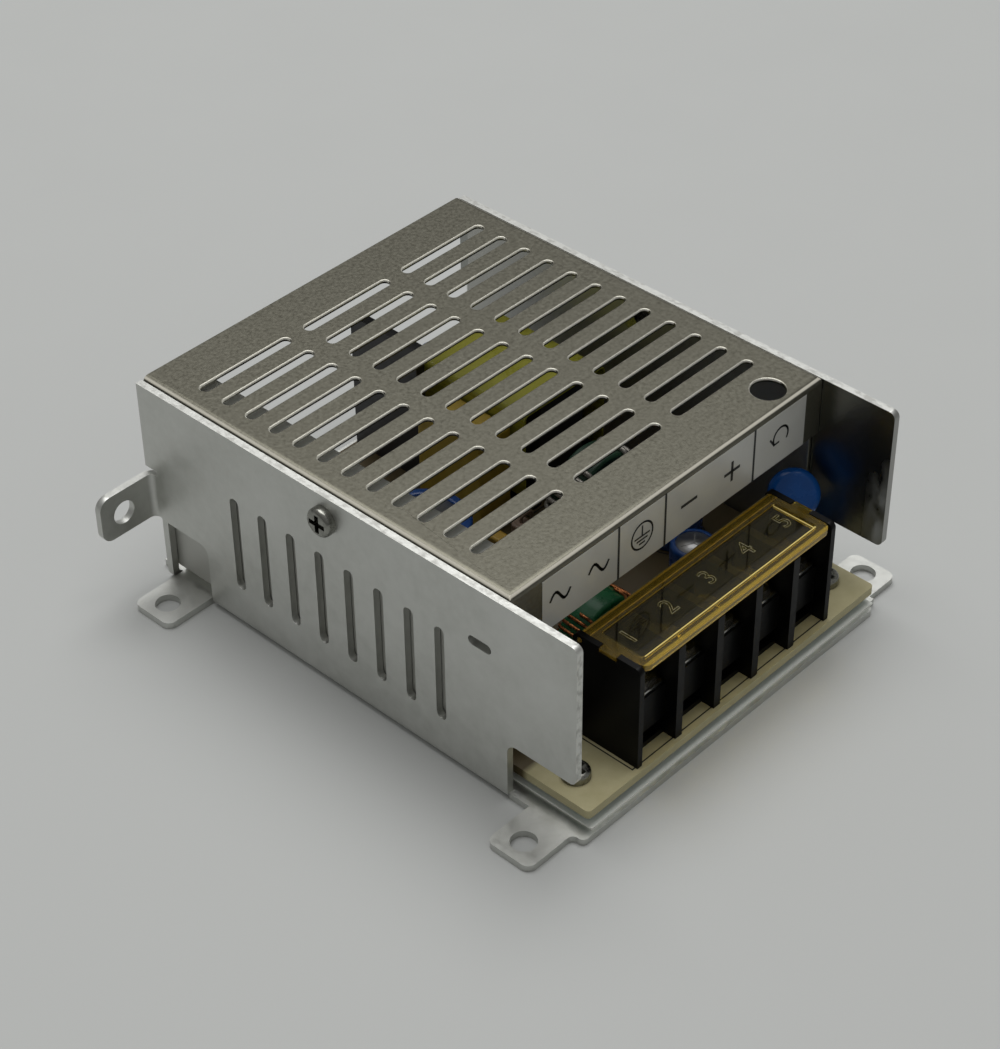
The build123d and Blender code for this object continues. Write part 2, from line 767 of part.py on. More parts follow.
with BuildPart() as trimmer_rotor:
    with BuildSketch(Plane.XY.offset(trimmer_top - rotor_depth)):
        with Locations((trimmer_x, trimmer_y)):
            Circle(rotor_radius)
    extrude(amount=rotor_depth + rotor_rise)
    chamfer(trimmer_rotor.edges().group_by(Axis.Z)[-1], 0.3)
    with BuildSketch(Plane.XY.offset(trimmer_top + rotor_rise)):
        with Locations((trimmer_x, trimmer_y)):
            Rectangle(2 * rotor_radius - 1, rotor_slot)
            Rectangle(rotor_slot, 2 * rotor_radius - 1)
    extrude(amount=-1.0, mode=Mode.SUBTRACT)
trimmer_rotor.part.label = "trimmer_rotor"
export_step(trimmer_rotor.part, "parts/trimmer_rotor.step")

# Electrolytic capacitors: sleeved cans, each with a rolled groove above its foot
cans = [
    ("bulk_capacitor", bulk_can, 3.75),
    ("output_capacitor_front", front_can, 1.75),
    ("output_capacitor_middle", middle_can, 2.5),
    ("output_capacitor_back", back_can, 1.75),
]
for name, (x, y, radius, top), half_pitch in cans:
    with BuildPart() as can:
        with BuildSketch(Plane.XZ.offset(-y)) as can_profile:
            with BuildLine():
                Polyline(
                    (x, board_top),
                    (x + radius, board_top),
                    (x + radius, board_top + can_groove_height - can_groove_depth),
                    (x + radius - can_groove_depth, board_top + can_groove_height),
                    (x + radius, board_top + can_groove_height + can_groove_depth),
                    (x + radius, top),
                    (x, top),
                    close=True,
                )
            make_face()
            fillet(can_profile.vertices().sort_by_distance((x + radius, top))[0], can_rim)
        revolve(axis=Axis((x, y, 0), (0, 0, 1)))
        add(leads([(x - half_pitch, y), (x + half_pitch, y)], fine_lead, board_top + 1))
    can.part.label = name
    export_step(can.part, f"parts/{name}.step")


def ring_core(x, y, radius, hole, width):
    """Plain ferrite or powder ring standing on the board."""
    with BuildPart() as ring:
        with BuildSketch(Plane.XZ.offset(-y - width / 2)):
            with Locations((x, board_top + radius)):
                Circle(radius)
                Circle(hole, mode=Mode.SUBTRACT)
        extrude(amount=width)
        chamfer(ring.edges().filter_by(GeomType.CIRCLE), 0.4)
    return ring.part


def ring_windings(x, y, radius, hole, width, wire):
    """Left and right windings around a standing ring, bare above and below, with four leads."""
    across = width + 2 * wire
    gap_half = (radius + 2 * wire) * tan(radians(winding_gap_angle))
    lead_x = radius * 0.7
    lead_y = width / 2 + wire / 2
    places = [(x + i * lead_x, y + j * lead_y) for i in (-1, 1) for j in (-1, 1)]
    with BuildPart() as windings:
        with BuildSketch(Plane.XZ.offset(-y - across / 2)):
            with Locations((x, board_top + radius)):
                Circle(radius + wire)
                Circle(hole - wire, mode=Mode.SUBTRACT)
            for side in (-1, 1):
                with BuildLine():
                    Polyline(
                        (x, board_top + radius),
                        (x - gap_half, board_top + radius + side * (radius + 2 * wire)),
                        (x + gap_half, board_top + radius + side * (radius + 2 * wire)),
                        close=True,
                    )
                make_face(mode=Mode.SUBTRACT)
        extrude(amount=across)
        with BuildSketch(Plane.XZ.offset(-y - width / 2)):
            with Locations((x, board_top + radius)):
                Circle(radius)
                Circle(hole, mode=Mode.SUBTRACT)
        extrude(amount=width, mode=Mode.SUBTRACT)
        add(leads(places, wire * 0.45, board_top + radius * 0.4))
    return windings.part


# Line choke and output inductor, each a ring core with two windings
choke_core = ring_core(choke_x, choke_y, choke_ring_radius, choke_ring_hole, choke_ring_width)
choke_core.label = "choke_core"
export_step(choke_core, "parts/choke_core.step")
choke_windings = ring_windings(
    choke_x, choke_y, choke_ring_radius, choke_ring_hole, choke_ring_width, choke_winding
)
choke_windings.label = "choke_windings"
export_step(choke_windings, "parts/choke_windings.step")
inductor_core = ring_core(inductor_x, inductor_y, inductor_ring_radius, inductor_ring_hole, inductor_ring_width)
inductor_core.label = "inductor_core"
export_step(inductor_core, "parts/inductor_core.step")
inductor_windings = ring_windings(
    inductor_x, inductor_y, inductor_ring_radius, inductor_ring_hole, inductor_ring_width, inductor_winding
)
inductor_windings.label = "inductor_windings"
export_step(inductor_windings, "parts/inductor_windings.step")


def round_disc(centre, facing, radius, half_width, places, lead_radius, lead_top):
    """Dipped disc with rounded rim on two straight leads."""
    with BuildPart() as disc:
        with BuildSketch(Plane(origin=centre, z_dir=facing)):
            Circle(radius)
        extrude(amount=half_width, both=True)
        fillet(disc.edges().filter_by(GeomType.CIRCLE), half_width * 0.85)
        add(leads(places, lead_radius, lead_top))
    return disc.part


# Disc capacitor, thermistor and suppression capacitor
disc_centre = Vector(disc_x, disc_y, disc_z)
disc_facing = Vector(0, 0, 1).rotate(Axis.X, 90 - disc_lean).rotate(Axis.Z, -disc_turn)
disc_across = disc_facing.cross(Vector(0, 0, 1)).normalized()
disc_up = disc_across.cross(disc_facing)
disc_foot = disc_centre - disc_up * disc_lead_drop
disc_leads = [disc_foot + disc_across * i * disc_lead_span / 2 for i in (-1, 1)]
disc_capacitor = round_disc(
    disc_centre,
    disc_facing,
    disc_radius,
    disc_half_width,
    [(lead.X, lead.Y) for lead in disc_leads],
    fine_lead,
    disc_foot.Z,
)
disc_capacitor.label = "disc_capacitor"
export_step(disc_capacitor, "parts/disc_capacitor.step")

thermistor_z = board_top + thermistor_radius + 1.2
thermistor = round_disc(
    (thermistor_x, thermistor_y, thermistor_z),
    (0, 1, 0),
    thermistor_radius,
    thermistor_width / 2,
    [(thermistor_x - 2.5, thermistor_y), (thermistor_x + 2.5, thermistor_y)],
    fine_lead,
    board_top + 3.0,
)
thermistor.label = "thermistor"
export_step(thermistor, "parts/thermistor.step")

y_capacitor = round_disc(
    (y_capacitor_x, y_capacitor_y, board_top + y_capacitor_radius + 1.0),
    (0, 1, 0),
    y_capacitor_radius,
    y_capacitor_width / 2,
    [(y_capacitor_x - 2.0, y_capacitor_y), (y_capacitor_x + 2.0, y_capacitor_y)],
    fine_lead,
    board_top + 2.6,
)
y_capacitor.label = "y_capacitor"
export_step(y_capacitor, "parts/y_capacitor.step")

# Fuse and its two clips
fuse_z = board_top + clip_sheet + fuse_radius
fuse_ends = [fuse_y - fuse_length / 2, fuse_y + fuse_length / 2 - fuse_cap_length]
with BuildPart() as fuse:
    with BuildSketch(Plane.XZ.offset(-fuse_y - fuse_length / 2)):
        with Locations((fuse_x, fuse_z)):
            Circle(fuse_radius)
    extrude(amount=fuse_length)
    with BuildSketch(Plane.XZ.offset(-fuse_y - fuse_length / 2 + fuse_cap_length)):
        with Locations((fuse_x, fuse_z)):
            Circle(fuse_radius)
            Circle(fuse_radius - 0.25, mode=Mode.SUBTRACT)
    extrude(amount=fuse_length - 2 * fuse_cap_length, mode=Mode.SUBTRACT)
fuse.part.label = "fuse"
export_step(fuse.part, "parts/fuse.step")

clip_ys = [fuse_y - fuse_length / 2 + fuse_cap_length / 2, fuse_y + fuse_length / 2 - fuse_cap_length / 2]
clip_pin_places = [(fuse_x + i * (fuse_radius - 0.6), y) for i in (-1, 1) for y in clip_ys]
with BuildPart() as fuse_clips:
    for y in clip_ys:
        with BuildSketch(Plane.XZ.offset(-y - fuse_clip_length / 2)):
            with Locations((fuse_x, board_top)):
                Rectangle(2 * (fuse_radius + clip_sheet), clip_height, align=(Align.CENTER, Align.MIN))
            with Locations((fuse_x, board_top + clip_sheet)):
                Rectangle(2 * fuse_radius, clip_height, align=(Align.CENTER, Align.MIN), mode=Mode.SUBTRACT)
        extrude(amount=fuse_clip_length)
    add(leads(clip_pin_places, stout_lead, board_top + clip_sheet / 2))
fuse_clips.part.label = "fuse_clips"
export_step(fuse_clips.part, "parts/fuse_clips.step")


def box_body(centre, width, length, bottom, top, rounding, places, lead_radius, lead_top):
    """Moulded or dipped box-shaped body on round leads."""
    with BuildPart() as box:
        with BuildSketch(Plane.XY.offset(bottom)):
            with Locations(centre):
                RectangleRounded(width, length, rounding)
        extrude(amount=top - bottom)
        fillet(box.edges().group_by(Axis.Z)[-1], rounding * 0.6)
        add(leads(places, lead_radius, lead_top))
    return box.part


# Line capacitor, snubber capacitor and bridge rectifier
x_capacitor = box_body(
    (x_capacitor_x, x_capacitor_y),
    x_capacitor_width,
    x_capacitor_length,
    board_top,
    x_capacitor_top,
    0.5,
    [(x_capacitor_x, x_capacitor_y - 6), (x_capacitor_x, x_capacitor_y + 6)],
    stout_lead,
    board_top + 1,
)
x_capacitor.label = "x_capacitor"
export_step(x_capacitor, "parts/x_capacitor.step")
snubber_capacitor = box_body(
    (snubber_x, snubber_y),
    snubber_width,
    snubber_length,
    board_top,
    snubber_top,
    0.9,
    [(snubber_x, snubber_y - 2.5), (snubber_x, snubber_y + 2.5)],
    fine_lead,
    board_top + 1,
)
snubber_capacitor.label = "snubber_capacitor"
export_step(snubber_capacitor, "parts/snubber_capacitor.step")
bridge_rectifier = box_body(
    (bridge_x, bridge_y),
    bridge_width,
    bridge_length,
    bridge_bottom,
    bridge_top,
    0.4,
    [(bridge_x, bridge_y + 3.8 * (i - 1.5)) for i in range(4)],
    stout_lead,
    bridge_bottom + 1,
)
bridge_rectifier.label = "bridge_rectifier"
export_step(bridge_rectifier, "parts/bridge_rectifier.step")

# Transformer bobbin: two pin rails, a square tube and two flanges
window_bottom = core_bottom + core_bar
core_top = wrap_top - wrap_thickness
window_top = core_top - core_bar
rail_x = core_width / 2 + bobbin_rail_width / 2
core_leg_side = (core_length - core_leg) / 4 - 1.0
flange_length = core_length - 2 * core_leg_side
bobbin_pins = [
    (transformer_x + i * rail_x, transformer_y + bobbin_pin_pitch * (j - (bobbin_pin_count - 1) / 2))
    for i in (-1, 1)
    for j in range(bobbin_pin_count)
]
with BuildPart() as transformer_bobbin:
    with BuildSketch(Plane.XY.offset(board_top)):
        for side in (-1, 1):
            with Locations((transformer_x + side * rail_x, transformer_y)):
                Rectangle(bobbin_rail_width, wrap_length - 1)
    extrude(amount=window_bottom + bobbin_flange - board_top)
    with BuildSketch(Plane.XY.offset(window_bottom)):
        with Locations((transformer_x, transformer_y)):
            Rectangle(core_width + 2 * bobbin_rail_width, flange_length)
    extrude(amount=bobbin_flange)
    with BuildSketch(Plane.XY.offset(window_top - bobbin_flange)):
        with Locations((transformer_x, transformer_y)):
            Rectangle(core_width + 2 * bobbin_rail_width, flange_length)
    extrude(amount=bobbin_flange)
    with BuildSketch(Plane.XY.offset(window_bottom)):
        with Locations((transformer_x, transformer_y)):
            Rectangle(core_width + 2 * bobbin_wall, core_leg + 2 * bobbin_wall)
    extrude(amount=window_top - window_bottom)
    with BuildSketch(Plane.XY.offset(window_bottom)):
        with Locations((transformer_x, transformer_y)):
            Rectangle(core_width, core_leg)
    extrude(amount=window_top - window_bottom, mode=Mode.SUBTRACT)
    add(leads(bobbin_pins, stout_lead, board_top + 1))
transformer_bobbin.part.label = "transformer_bobbin"
export_step(transformer_bobbin.part, "parts/transformer_bobbin.step")

# Transformer core: two E halves that meet half way up the window
core_middle = (window_bottom + window_top) / 2
for name, low, high, bar_low in (
    ("transformer_core_lower", core_bottom, core_middle, core_bottom),
    ("transformer_core_upper", core_middle, core_top, window_top),
):
    with BuildPart() as core_half:
        with BuildSketch(Plane.YZ.offset(transformer_x - core_width / 2)):
            with Locations((transformer_y, bar_low + core_bar / 2)):
                Rectangle(core_length, core_bar)
            with Locations((transformer_y, (low + high) / 2)):
                Rectangle(core_leg, high - low)
            for side in (-1, 1):
                with Locations((transformer_y + side * (core_length - core_leg_side) / 2, (low + high) / 2)):
                    Rectangle(core_leg_side, high - low)
        extrude(amount=core_width)
    core_half.part.label = name
    export_step(core_half.part, f"parts/{name}.step")

# Transformer winding between the bobbin flanges
winding_low = window_bottom + bobbin_flange
winding_high = window_top - bobbin_flange
winding_width = wrap_width - 2 * wrap_thickness
with BuildPart() as transformer_winding:
    with BuildSketch(Plane.XY.offset(winding_low)):
        with Locations((transformer_x, transformer_y)):
            RectangleRounded(winding_width, flange_length - 0.4, 1.5)
            Rectangle(core_width + 2 * bobbin_wall, core_leg + 2 * bobbin_wall, mode=Mode.SUBTRACT)
    extrude(amount=winding_high - winding_low)
transformer_winding.part.label = "transformer_winding"
export_step(transformer_winding.part, "parts/transformer_winding.step")

# Outer wrap: a band over the core and down both sides of the winding
with BuildPart() as transformer_wrap:
    with BuildSketch(Plane.XZ.offset(-transformer_y - wrap_length / 2)):
        with BuildLine():
            FilletPolyline(
                (transformer_x - wrap_width / 2, wrap_bottom),
                (transformer_x - wrap_width / 2, wrap_top),
                (transformer_x + wrap_width / 2, wrap_top),
                (transformer_x + wrap_width / 2, wrap_bottom),
                radius=1.2,
            )
            offset(amount=wrap_thickness, side=Side.RIGHT)
        make_face()
    extrude(amount=wrap_length)
transformer_wrap.part.label = "transformer_wrap"
export_step(transformer_wrap.part, "parts/transformer_wrap.step")


def sink_plate(x, thickness, front, back, top, hole_y, hole_z):
    """Upright heat-sink plate with two feet soldered into the board and a tapped hole."""
    feet = [(x + thickness / 2, front + 2.5), (x + thickness / 2, back - 2.5)]
    with BuildPart() as plate:
        with BuildSketch(Plane.YZ.offset(x)) as outline:
            with Locations(((front + back) / 2, (board_top + top) / 2)):
                Rectangle(back - front, top - board_top)
            fillet(outline.vertices().group_by(Axis.Y)[0].sort_by(Axis.Z)[-1:], 1.5)
            with Locations((hole_y, hole_z)):
                Circle(m3_shank_radius + m3_tapped_gap, mode=Mode.SUBTRACT)
        extrude(amount=thickness)
        add(leads(feet, stout_lead, board_top + 1))
    return plate.part


def power_package(x, side, y):
    """Three-lead power package lying flat against the plate face at x."""
    pins = [(x + side * package_pin_inset, y + package_pin_pitch * i) for i in (-1, 0, 1)]
    with BuildPart() as package:
        with BuildSketch(Plane.YZ.offset(x)):
            with Locations((y, package_bottom + package_tab_height / 2)):
                Rectangle(package_width, package_tab_height)
            with Locations((y, package_bottom + package_tab_height - package_hole_drop)):
                Circle(m3_shank_radius + m3_through_gap, mode=Mode.SUBTRACT)
        extrude(amount=side * package_tab)
        with BuildSketch(Plane.YZ.offset(x)):
            with Locations((y, package_bottom + package_height / 2)):
                Rectangle(package_width, package_height)
        extrude(amount=side * package_depth)
        chamfer(package.edges().filter_by(Axis.Z).group_by(SortBy.LENGTH)[0], 0.3)
        add(leads(pins, stout_lead, package_bottom + 1))
    return package.part


# Heat sinks with their packages and screws
package_hole_z = package_bottom + package_tab_height - package_hole_drop
right_sink_face = right_sink_x + right_sink_thickness
sinks = [
    ("right", right_sink_x, right_sink_thickness, right_sink_front, right_sink_back, right_sink_top, rectifier_y),
    ("left", left_sink_x, left_sink_thickness, left_sink_front, left_sink_back, left_sink_top, transistor_y),
]
for name, x, thickness, front, back, top, hole_y in sinks:
    plate = sink_plate(x, thickness, front, back, top, hole_y, package_hole_z)
    plate.label = f"heat_sink_{name}"
    export_step(plate, f"parts/heat_sink_{name}.step")
packages = [
    ("output_rectifier", "rectifier_screw", right_sink_face, 1, rectifier_y, right_sink_thickness),
    ("power_transistor", "transistor_screw", left_sink_x, -1, transistor_y, left_sink_thickness),
]
for name, screw_name, x, side, y, plate_thickness in packages:
    package = power_package(x, side, y)
    package.label = name
    export_step(package, f"parts/{name}.step")
    seat = Plane(origin=(x + side * package_tab, y, package_hole_z), x_dir=(0, 1, 0), z_dir=(side, 0, 0))
    package_screw = pan_screw(
        seat, m3_head_radius - 0.3, m3_head_height, m3_shank_radius, package_tab + plate_thickness
    )
    package_screw.label = screw_name
    export_step(package_screw, f"parts/{screw_name}.step")

# Upright resistor with its returning lead
resistor_return_x = upright_resistor_x + upright_resistor_return
loop_z = upright_resistor_top + 1.2
upright_ends = [(upright_resistor_x, upright_resistor_y), (resistor_return_x, upright_resistor_y)]
with BuildPart() as upright_resistor:
    with BuildSketch(Plane.XY.offset(board_top)):
        with Locations((upright_resistor_x, upright_resistor_y)):
            Circle(upright_resistor_radius)
    extrude(amount=upright_resistor_top - board_top)
    fillet(upright_resistor.edges(), 0.5)
    with BuildLine() as loop:
        FilletPolyline(
            (upright_resistor_x, upright_resistor_y, upright_resistor_top - 0.5),
            (upright_resistor_x, upright_resistor_y, loop_z),
            (resistor_return_x, upright_resistor_y, loop_z),
            (resistor_return_x, upright_resistor_y, board_top),
            radius=0.8,
        )
    with BuildSketch(Plane(origin=loop.line @ 0, z_dir=loop.line % 0)):
        Circle(fine_lead)
    sweep()
    add(leads(upright_ends, fine_lead, board_top + 0.6))
upright_resistor.part.label = "upright_resistor"
export_step(upright_resistor.part, "parts/upright_resistor.step")


def axial_parts(x, ys, radius, length):
    """Axial bodies lying across the board, their leads bent down into it."""
    with BuildPart() as row:
        for y in ys:
            with BuildSketch(Plane.YZ.offset(x - length / 2)):
                with Locations((y, board_top + radius)):
                    Circle(radius)
            extrude(amount=length)
            for side in (-1, 1):
                with BuildLine() as wire:
                    FilletPolyline(
                        (x + side * (length / 2 - 0.3), y, board_top + radius),
                        (x + side * resistor_span / 2, y, board_top + radius),
                        (x + side * resistor_span / 2, y, board_bottom),
                        radius=0.8,
                    )
                with BuildSketch(Plane(origin=wire.line @ 0, z_dir=wire.line % 0)):
                    Circle(fine_lead)
                sweep()
        ends = [(x + side * resistor_span / 2, y) for side in (-1, 1) for y in ys]
        add(leads(ends, fine_lead, board_top))
    return row.part


# Lying resistors and diodes
resistors = axial_parts(resistor_x, resistor_ys, resistor_radius, resistor_length)
resistors.label = "resistors"
export_step(resistors, "parts/resistors.step")
diodes = axial_parts(diode_x, diode_ys, diode_radius, diode_length)
diodes.label = "diodes"
export_step(diodes, "parts/diodes.step")


def chip(x, y, length, columns):
    """Dual-row chip package: rows of leads along X, spread across Y."""
    places = [
        (x + chip_pitch * (i - (columns - 1) / 2), y + j * chip_row_span / 2) for i in range(columns) for j in (-1, 1)
    ]
    with BuildPart() as package:
        with BuildSketch(Plane.XY.offset(board_top)):
            with Locations((x, y)):
                Rectangle(length, controller_width)
        extrude(amount=controller_height)
        chamfer(package.edges().group_by(Axis.Z)[-1], 0.4)
        with BuildSketch(Plane.XY.offset(board_top + controller_height / 2)):
            for place in places:
                with Locations((place[0], (place[1] + y) / 2)):
                    Rectangle(2 * fine_lead, chip_row_span / 2 + 2 * fine_lead)
        extrude(amount=0.3)
        add(leads(places, fine_lead, board_top + controller_height / 2 + 0.3))
    return package.part


# Controller and optocoupler
controller = chip(controller_x, controller_y, controller_length, 4)
controller.label = "controller"
export_step(controller, "parts/controller.step")
optocoupler = chip(opto_x, opto_y, opto_length, 2)
optocoupler.label = "optocoupler"
export_step(optocoupler, "parts/optocoupler.step")

# Circuit board, drilled for its screws, the contact pins and every lead
with BuildPart() as circuit_board:
    with BuildSketch(Plane.XY.offset(board_bottom)):
        with Locations(((board_left + board_right) / 2, (board_front + board_back) / 2)):
            RectangleRounded(board_right - board_left, board_back - board_front, board_corner_radius)
        with Locations(*spacer_places):
            Circle(m3_shank_radius + m3_through_gap, mode=Mode.SUBTRACT)
        with Locations(*[(x, contact_pin_y) for x in pole_xs]):
            Rectangle(
                contact_pin_width + 2 * contact_gap, contact_pin_depth + 2 * contact_gap, mode=Mode.SUBTRACT
            )
        for x, y, radius in lead_holes:
            with Locations((x, y)):
                Circle(radius, mode=Mode.SUBTRACT)
    extrude(amount=board_thickness)
circuit_board.part.label = "circuit_board"
export_step(circuit_board.part, "parts/circuit_board.step")
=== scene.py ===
from math import cos, pi, radians, sin

import bpy
from mathutils import Euler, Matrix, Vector


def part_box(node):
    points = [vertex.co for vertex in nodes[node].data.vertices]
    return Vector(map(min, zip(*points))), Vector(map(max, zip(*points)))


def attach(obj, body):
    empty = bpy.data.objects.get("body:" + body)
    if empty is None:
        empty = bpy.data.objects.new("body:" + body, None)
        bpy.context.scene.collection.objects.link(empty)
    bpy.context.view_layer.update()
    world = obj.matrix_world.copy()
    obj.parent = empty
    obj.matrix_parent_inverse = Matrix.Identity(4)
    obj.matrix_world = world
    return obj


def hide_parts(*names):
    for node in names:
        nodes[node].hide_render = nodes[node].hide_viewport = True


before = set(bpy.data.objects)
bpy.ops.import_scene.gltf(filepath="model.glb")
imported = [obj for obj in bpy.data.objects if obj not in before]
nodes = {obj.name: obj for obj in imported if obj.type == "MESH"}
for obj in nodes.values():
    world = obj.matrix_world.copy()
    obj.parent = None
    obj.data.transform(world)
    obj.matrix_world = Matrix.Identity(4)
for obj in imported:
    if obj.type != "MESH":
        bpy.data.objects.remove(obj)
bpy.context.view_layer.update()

# The view: the supply is seen from above and from beyond its front left corner, through a
# long lens. Place, turn and lens are the ones that fit the photograph's straight edges.
camera_data = bpy.data.cameras.new("view")
camera_data.sensor_width = 36.0
camera_data.lens = 88.71
camera_data.clip_start = 0.01
camera = bpy.data.objects.new("view", camera_data)
camera.location = (-0.24723, -0.23092, 0.28935)
camera.rotation_euler = Euler((radians(50.78765), radians(0.51663), radians(-46.94018)), "XYZ")
bpy.context.scene.collection.objects.link(camera)
bpy.context.scene.camera = camera
bpy.context.scene.view_settings.view_transform = "Standard"


# The table: a board faced with pale matt laminate. The supply lies loose on it, and it
# reaches far beyond the picture on every side.
def noise_over(tree, scale, stretch, detail, roughness):
    """Noise laid over a piece in its own place, and stretched along its axes."""
    place = tree.nodes.new("ShaderNodeTexCoord")
    fit = tree.nodes.new("ShaderNodeMapping")
    fit.inputs["Scale"].default_value = stretch
    noise = tree.nodes.new("ShaderNodeTexNoise")
    noise.inputs["Scale"].default_value = scale
    noise.inputs["Detail"].default_value = detail
    noise.inputs["Roughness"].default_value = roughness
    tree.links.new(place.outputs["Object"], fit.inputs["Vector"])
    tree.links.new(fit.outputs["Vector"], noise.inputs["Vector"])
    return noise.outputs["Fac"]


def finish(name, colours, gloss, bump, scale, stretch=(1, 1, 1), detail=6.0, **others):
    """A new material: fine noise moves its colour and gloss between two values each.

    The same noise roughens it by the bump's strength; other shader values go by their names.
    """
    material = bpy.data.materials.new(name)
    material.use_nodes = True
    tree = material.node_tree
    surface = tree.nodes["Principled BSDF"]
    for other, value in others.items():
        surface.inputs[other.replace("_", " ")].default_value = value
    noise = noise_over(tree, scale, stretch, detail, roughness=0.6)
    noise_low, noise_high = 0.3, 0.7
    tint = tree.nodes.new("ShaderNodeValToRGB")
    tint.color_ramp.elements[0].position = noise_low
    tint.color_ramp.elements[1].position = noise_high
    tint.color_ramp.elements[0].color = (*colours[0], 1.0)
    tint.color_ramp.elements[1].color = (*colours[1], 1.0)
    shine = tree.nodes.new("ShaderNodeMapRange")
    shine.inputs["From Min"].default_value = noise_low
    shine.inputs["From Max"].default_value = noise_high
    shine.inputs["To Min"].default_value = gloss[0]
    shine.inputs["To Max"].default_value = gloss[1]
    relief = tree.nodes.new("ShaderNodeBump")
    relief.inputs["Strength"].default_value = bump
    relief.inputs["Distance"].default_value = 0.0001
    tree.links.new(noise, tint.inputs["Fac"])
    tree.links.new(noise, shine.inputs["Value"])
    tree.links.new(noise, relief.inputs["Height"])
    tree.links.new(tint.outputs["Color"], surface.inputs["Base Color"])
    tree.links.new(shine.outputs["Result"], surface.inputs["Roughness"])
    tree.links.new(relief.outputs["Normal"], surface.inputs["Normal"])
    return material


laminate_colours = ((0.497, 0.507, 0.495), (0.503, 0.513, 0.501))
laminate = finish(
    "table_laminate", laminate_colours, gloss=(0.6, 0.66), bump=0.03, scale=40.0
)
table_half = 2.0
table_corners = [(-table_half, -table_half, 0), (table_half, -table_half, 0)]
table_corners += [(table_half, table_half, 0), (-table_half, table_half, 0)]
table_mesh = bpy.data.meshes.new("table")
table_mesh.from_pydata(table_corners, [], [(0, 1, 2, 3)])
table_mesh.materials.append(laminate)
table = bpy.data.objects.new("table", table_mesh)
bpy.context.scene.collection.objects.link(table)

# The light: a pale room that is brighter overhead, and one broad soft lamp high above the
# supply and a little behind it.
room_colour = (0.81, 0.81, 0.80)
room_floor_strength = 0.22
room_ceiling_strength = 0.45
room = bpy.data.worlds.new("room")
bpy.context.scene.world = room
room.use_nodes = True
room_tree = room.node_tree
room_light = room_tree.nodes["Background"]
room_light.inputs["Color"].default_value = (*room_colour, 1.0)
direction = room_tree.nodes.new("ShaderNodeTexCoord")
height = room_tree.nodes.new("ShaderNodeSeparateXYZ")
brightness = room_tree.nodes.new("ShaderNodeMapRange")
brightness.inputs["To Min"].default_value = room_floor_strength
brightness.inputs["To Max"].default_value = room_ceiling_strength
room_tree.links.new(direction.outputs["Generated"], height.inputs["Vector"])
room_tree.links.new(height.outputs["Z"], brightness.inputs["Value"])
room_tree.links.new(brightness.outputs["Result"], room_light.inputs["Strength"])
lamp_data = bpy.data.lights.new("overhead_lamp", "AREA")
lamp_data.size = 1.0
lamp_data.energy = 11.3
lamp = bpy.data.objects.new("overhead_lamp", lamp_data)
lamp.location = (0.24, 0.27, 1.2)
lamp.rotation_euler = (-lamp.location).to_track_quat("-Z", "Y").to_euler()
bpy.context.scene.collection.objects.link(lamp)

# Chassis: one folded aluminium sheet. It is sheared and punched flat, then bent, so its
# faces keep the dull skin of the mill and its cut edges are brighter.
MM = 0.001
far = 99.0
wall_inner = 37.7
wall_outer = 39.0
wall_front = -48.5
wall_top = 40.0
wall_foot = 3.0
cloud_width = 3.0
cloud_bottom = 12.0
cloud_top = 27.0


def dress(node, material, edge=0.0, punched=False):
    """Give a node of the frame its finish and, in millimetres, a fine rounding of its edges.

    A punched sheet has its flat triangles joined first, so every slot rim is rounded alike.
    """
    piece = nodes[node]
    piece.data.materials.clear()
    piece.data.materials.append(material)
    if edge:
        weld = piece.modifiers.new("joined", "WELD")
        weld.merge_threshold = 0.000002
        if punched:
            plain = piece.modifiers.new("plain_faces", "DECIMATE")
            plain.decimate_type = "DISSOLVE"
            plain.angle_limit = radians(0.5)
        rounding = piece.modifiers.new("rounded_edges", "BEVEL")
        rounding.width = edge * MM
        rounding.segments = 2
        rounding.limit_method = "ANGLE"
        rounding.angle_limit = radians(40)
        rounding.use_clamp_overlap = not punched
        flat_faces = piece.modifiers.new("flat_faces", "WEIGHTED_NORMAL")
        flat_faces.weight = 100
        flat_faces.keep_sharp = True


def surface_facts(material):
    """Which way a point of the piece faces and where it lies, each as X, Y and Z sockets."""
    tree = material.node_tree
    geometry = tree.nodes.new("ShaderNodeNewGeometry")
    place = tree.nodes.new("ShaderNodeTexCoord")
    facing = tree.nodes.new("ShaderNodeSeparateXYZ")
    lying = tree.nodes.new("ShaderNodeSeparateXYZ")
    tree.links.new(geometry.outputs["Normal"], facing.inputs["Vector"])
    tree.links.new(place.outputs["Object"], lying.inputs["Vector"])
    return facing.outputs, lying.outputs


def between(socket, low, high, soft, absolute=False):
    """A mask: 1 where a socket lies between two values, fading to 0 over a soft margin."""
    tree = socket.id_data
    if absolute:
        size = tree.nodes.new("ShaderNodeMath")
        size.operation = "ABSOLUTE"
        tree.links.new(socket, size.inputs[0])
        socket = size.outputs[0]
    rise = tree.nodes.new("ShaderNodeMapRange")
    rise.inputs["From Min"].default_value = low - soft
    rise.inputs["From Max"].default_value = low + soft
    fall = tree.nodes.new("ShaderNodeMapRange")
    fall.inputs["From Min"].default_value = high - soft
    fall.inputs["From Max"].default_value = high + soft
    fall.inputs["To Min"].default_value = 1.0
    fall.inputs["To Max"].default_value = 0.0
    tree.links.new(socket, rise.inputs["Value"])
    tree.links.new(socket, fall.inputs["Value"])
    return all_of(rise.outputs["Result"], fall.outputs["Result"])


def within(socket, low, high, soft, absolute=False):
    """The same mask for a place, in millimetres; the value far leaves a side open."""
    return between(socket, low * MM, high * MM, soft * MM, absolute)


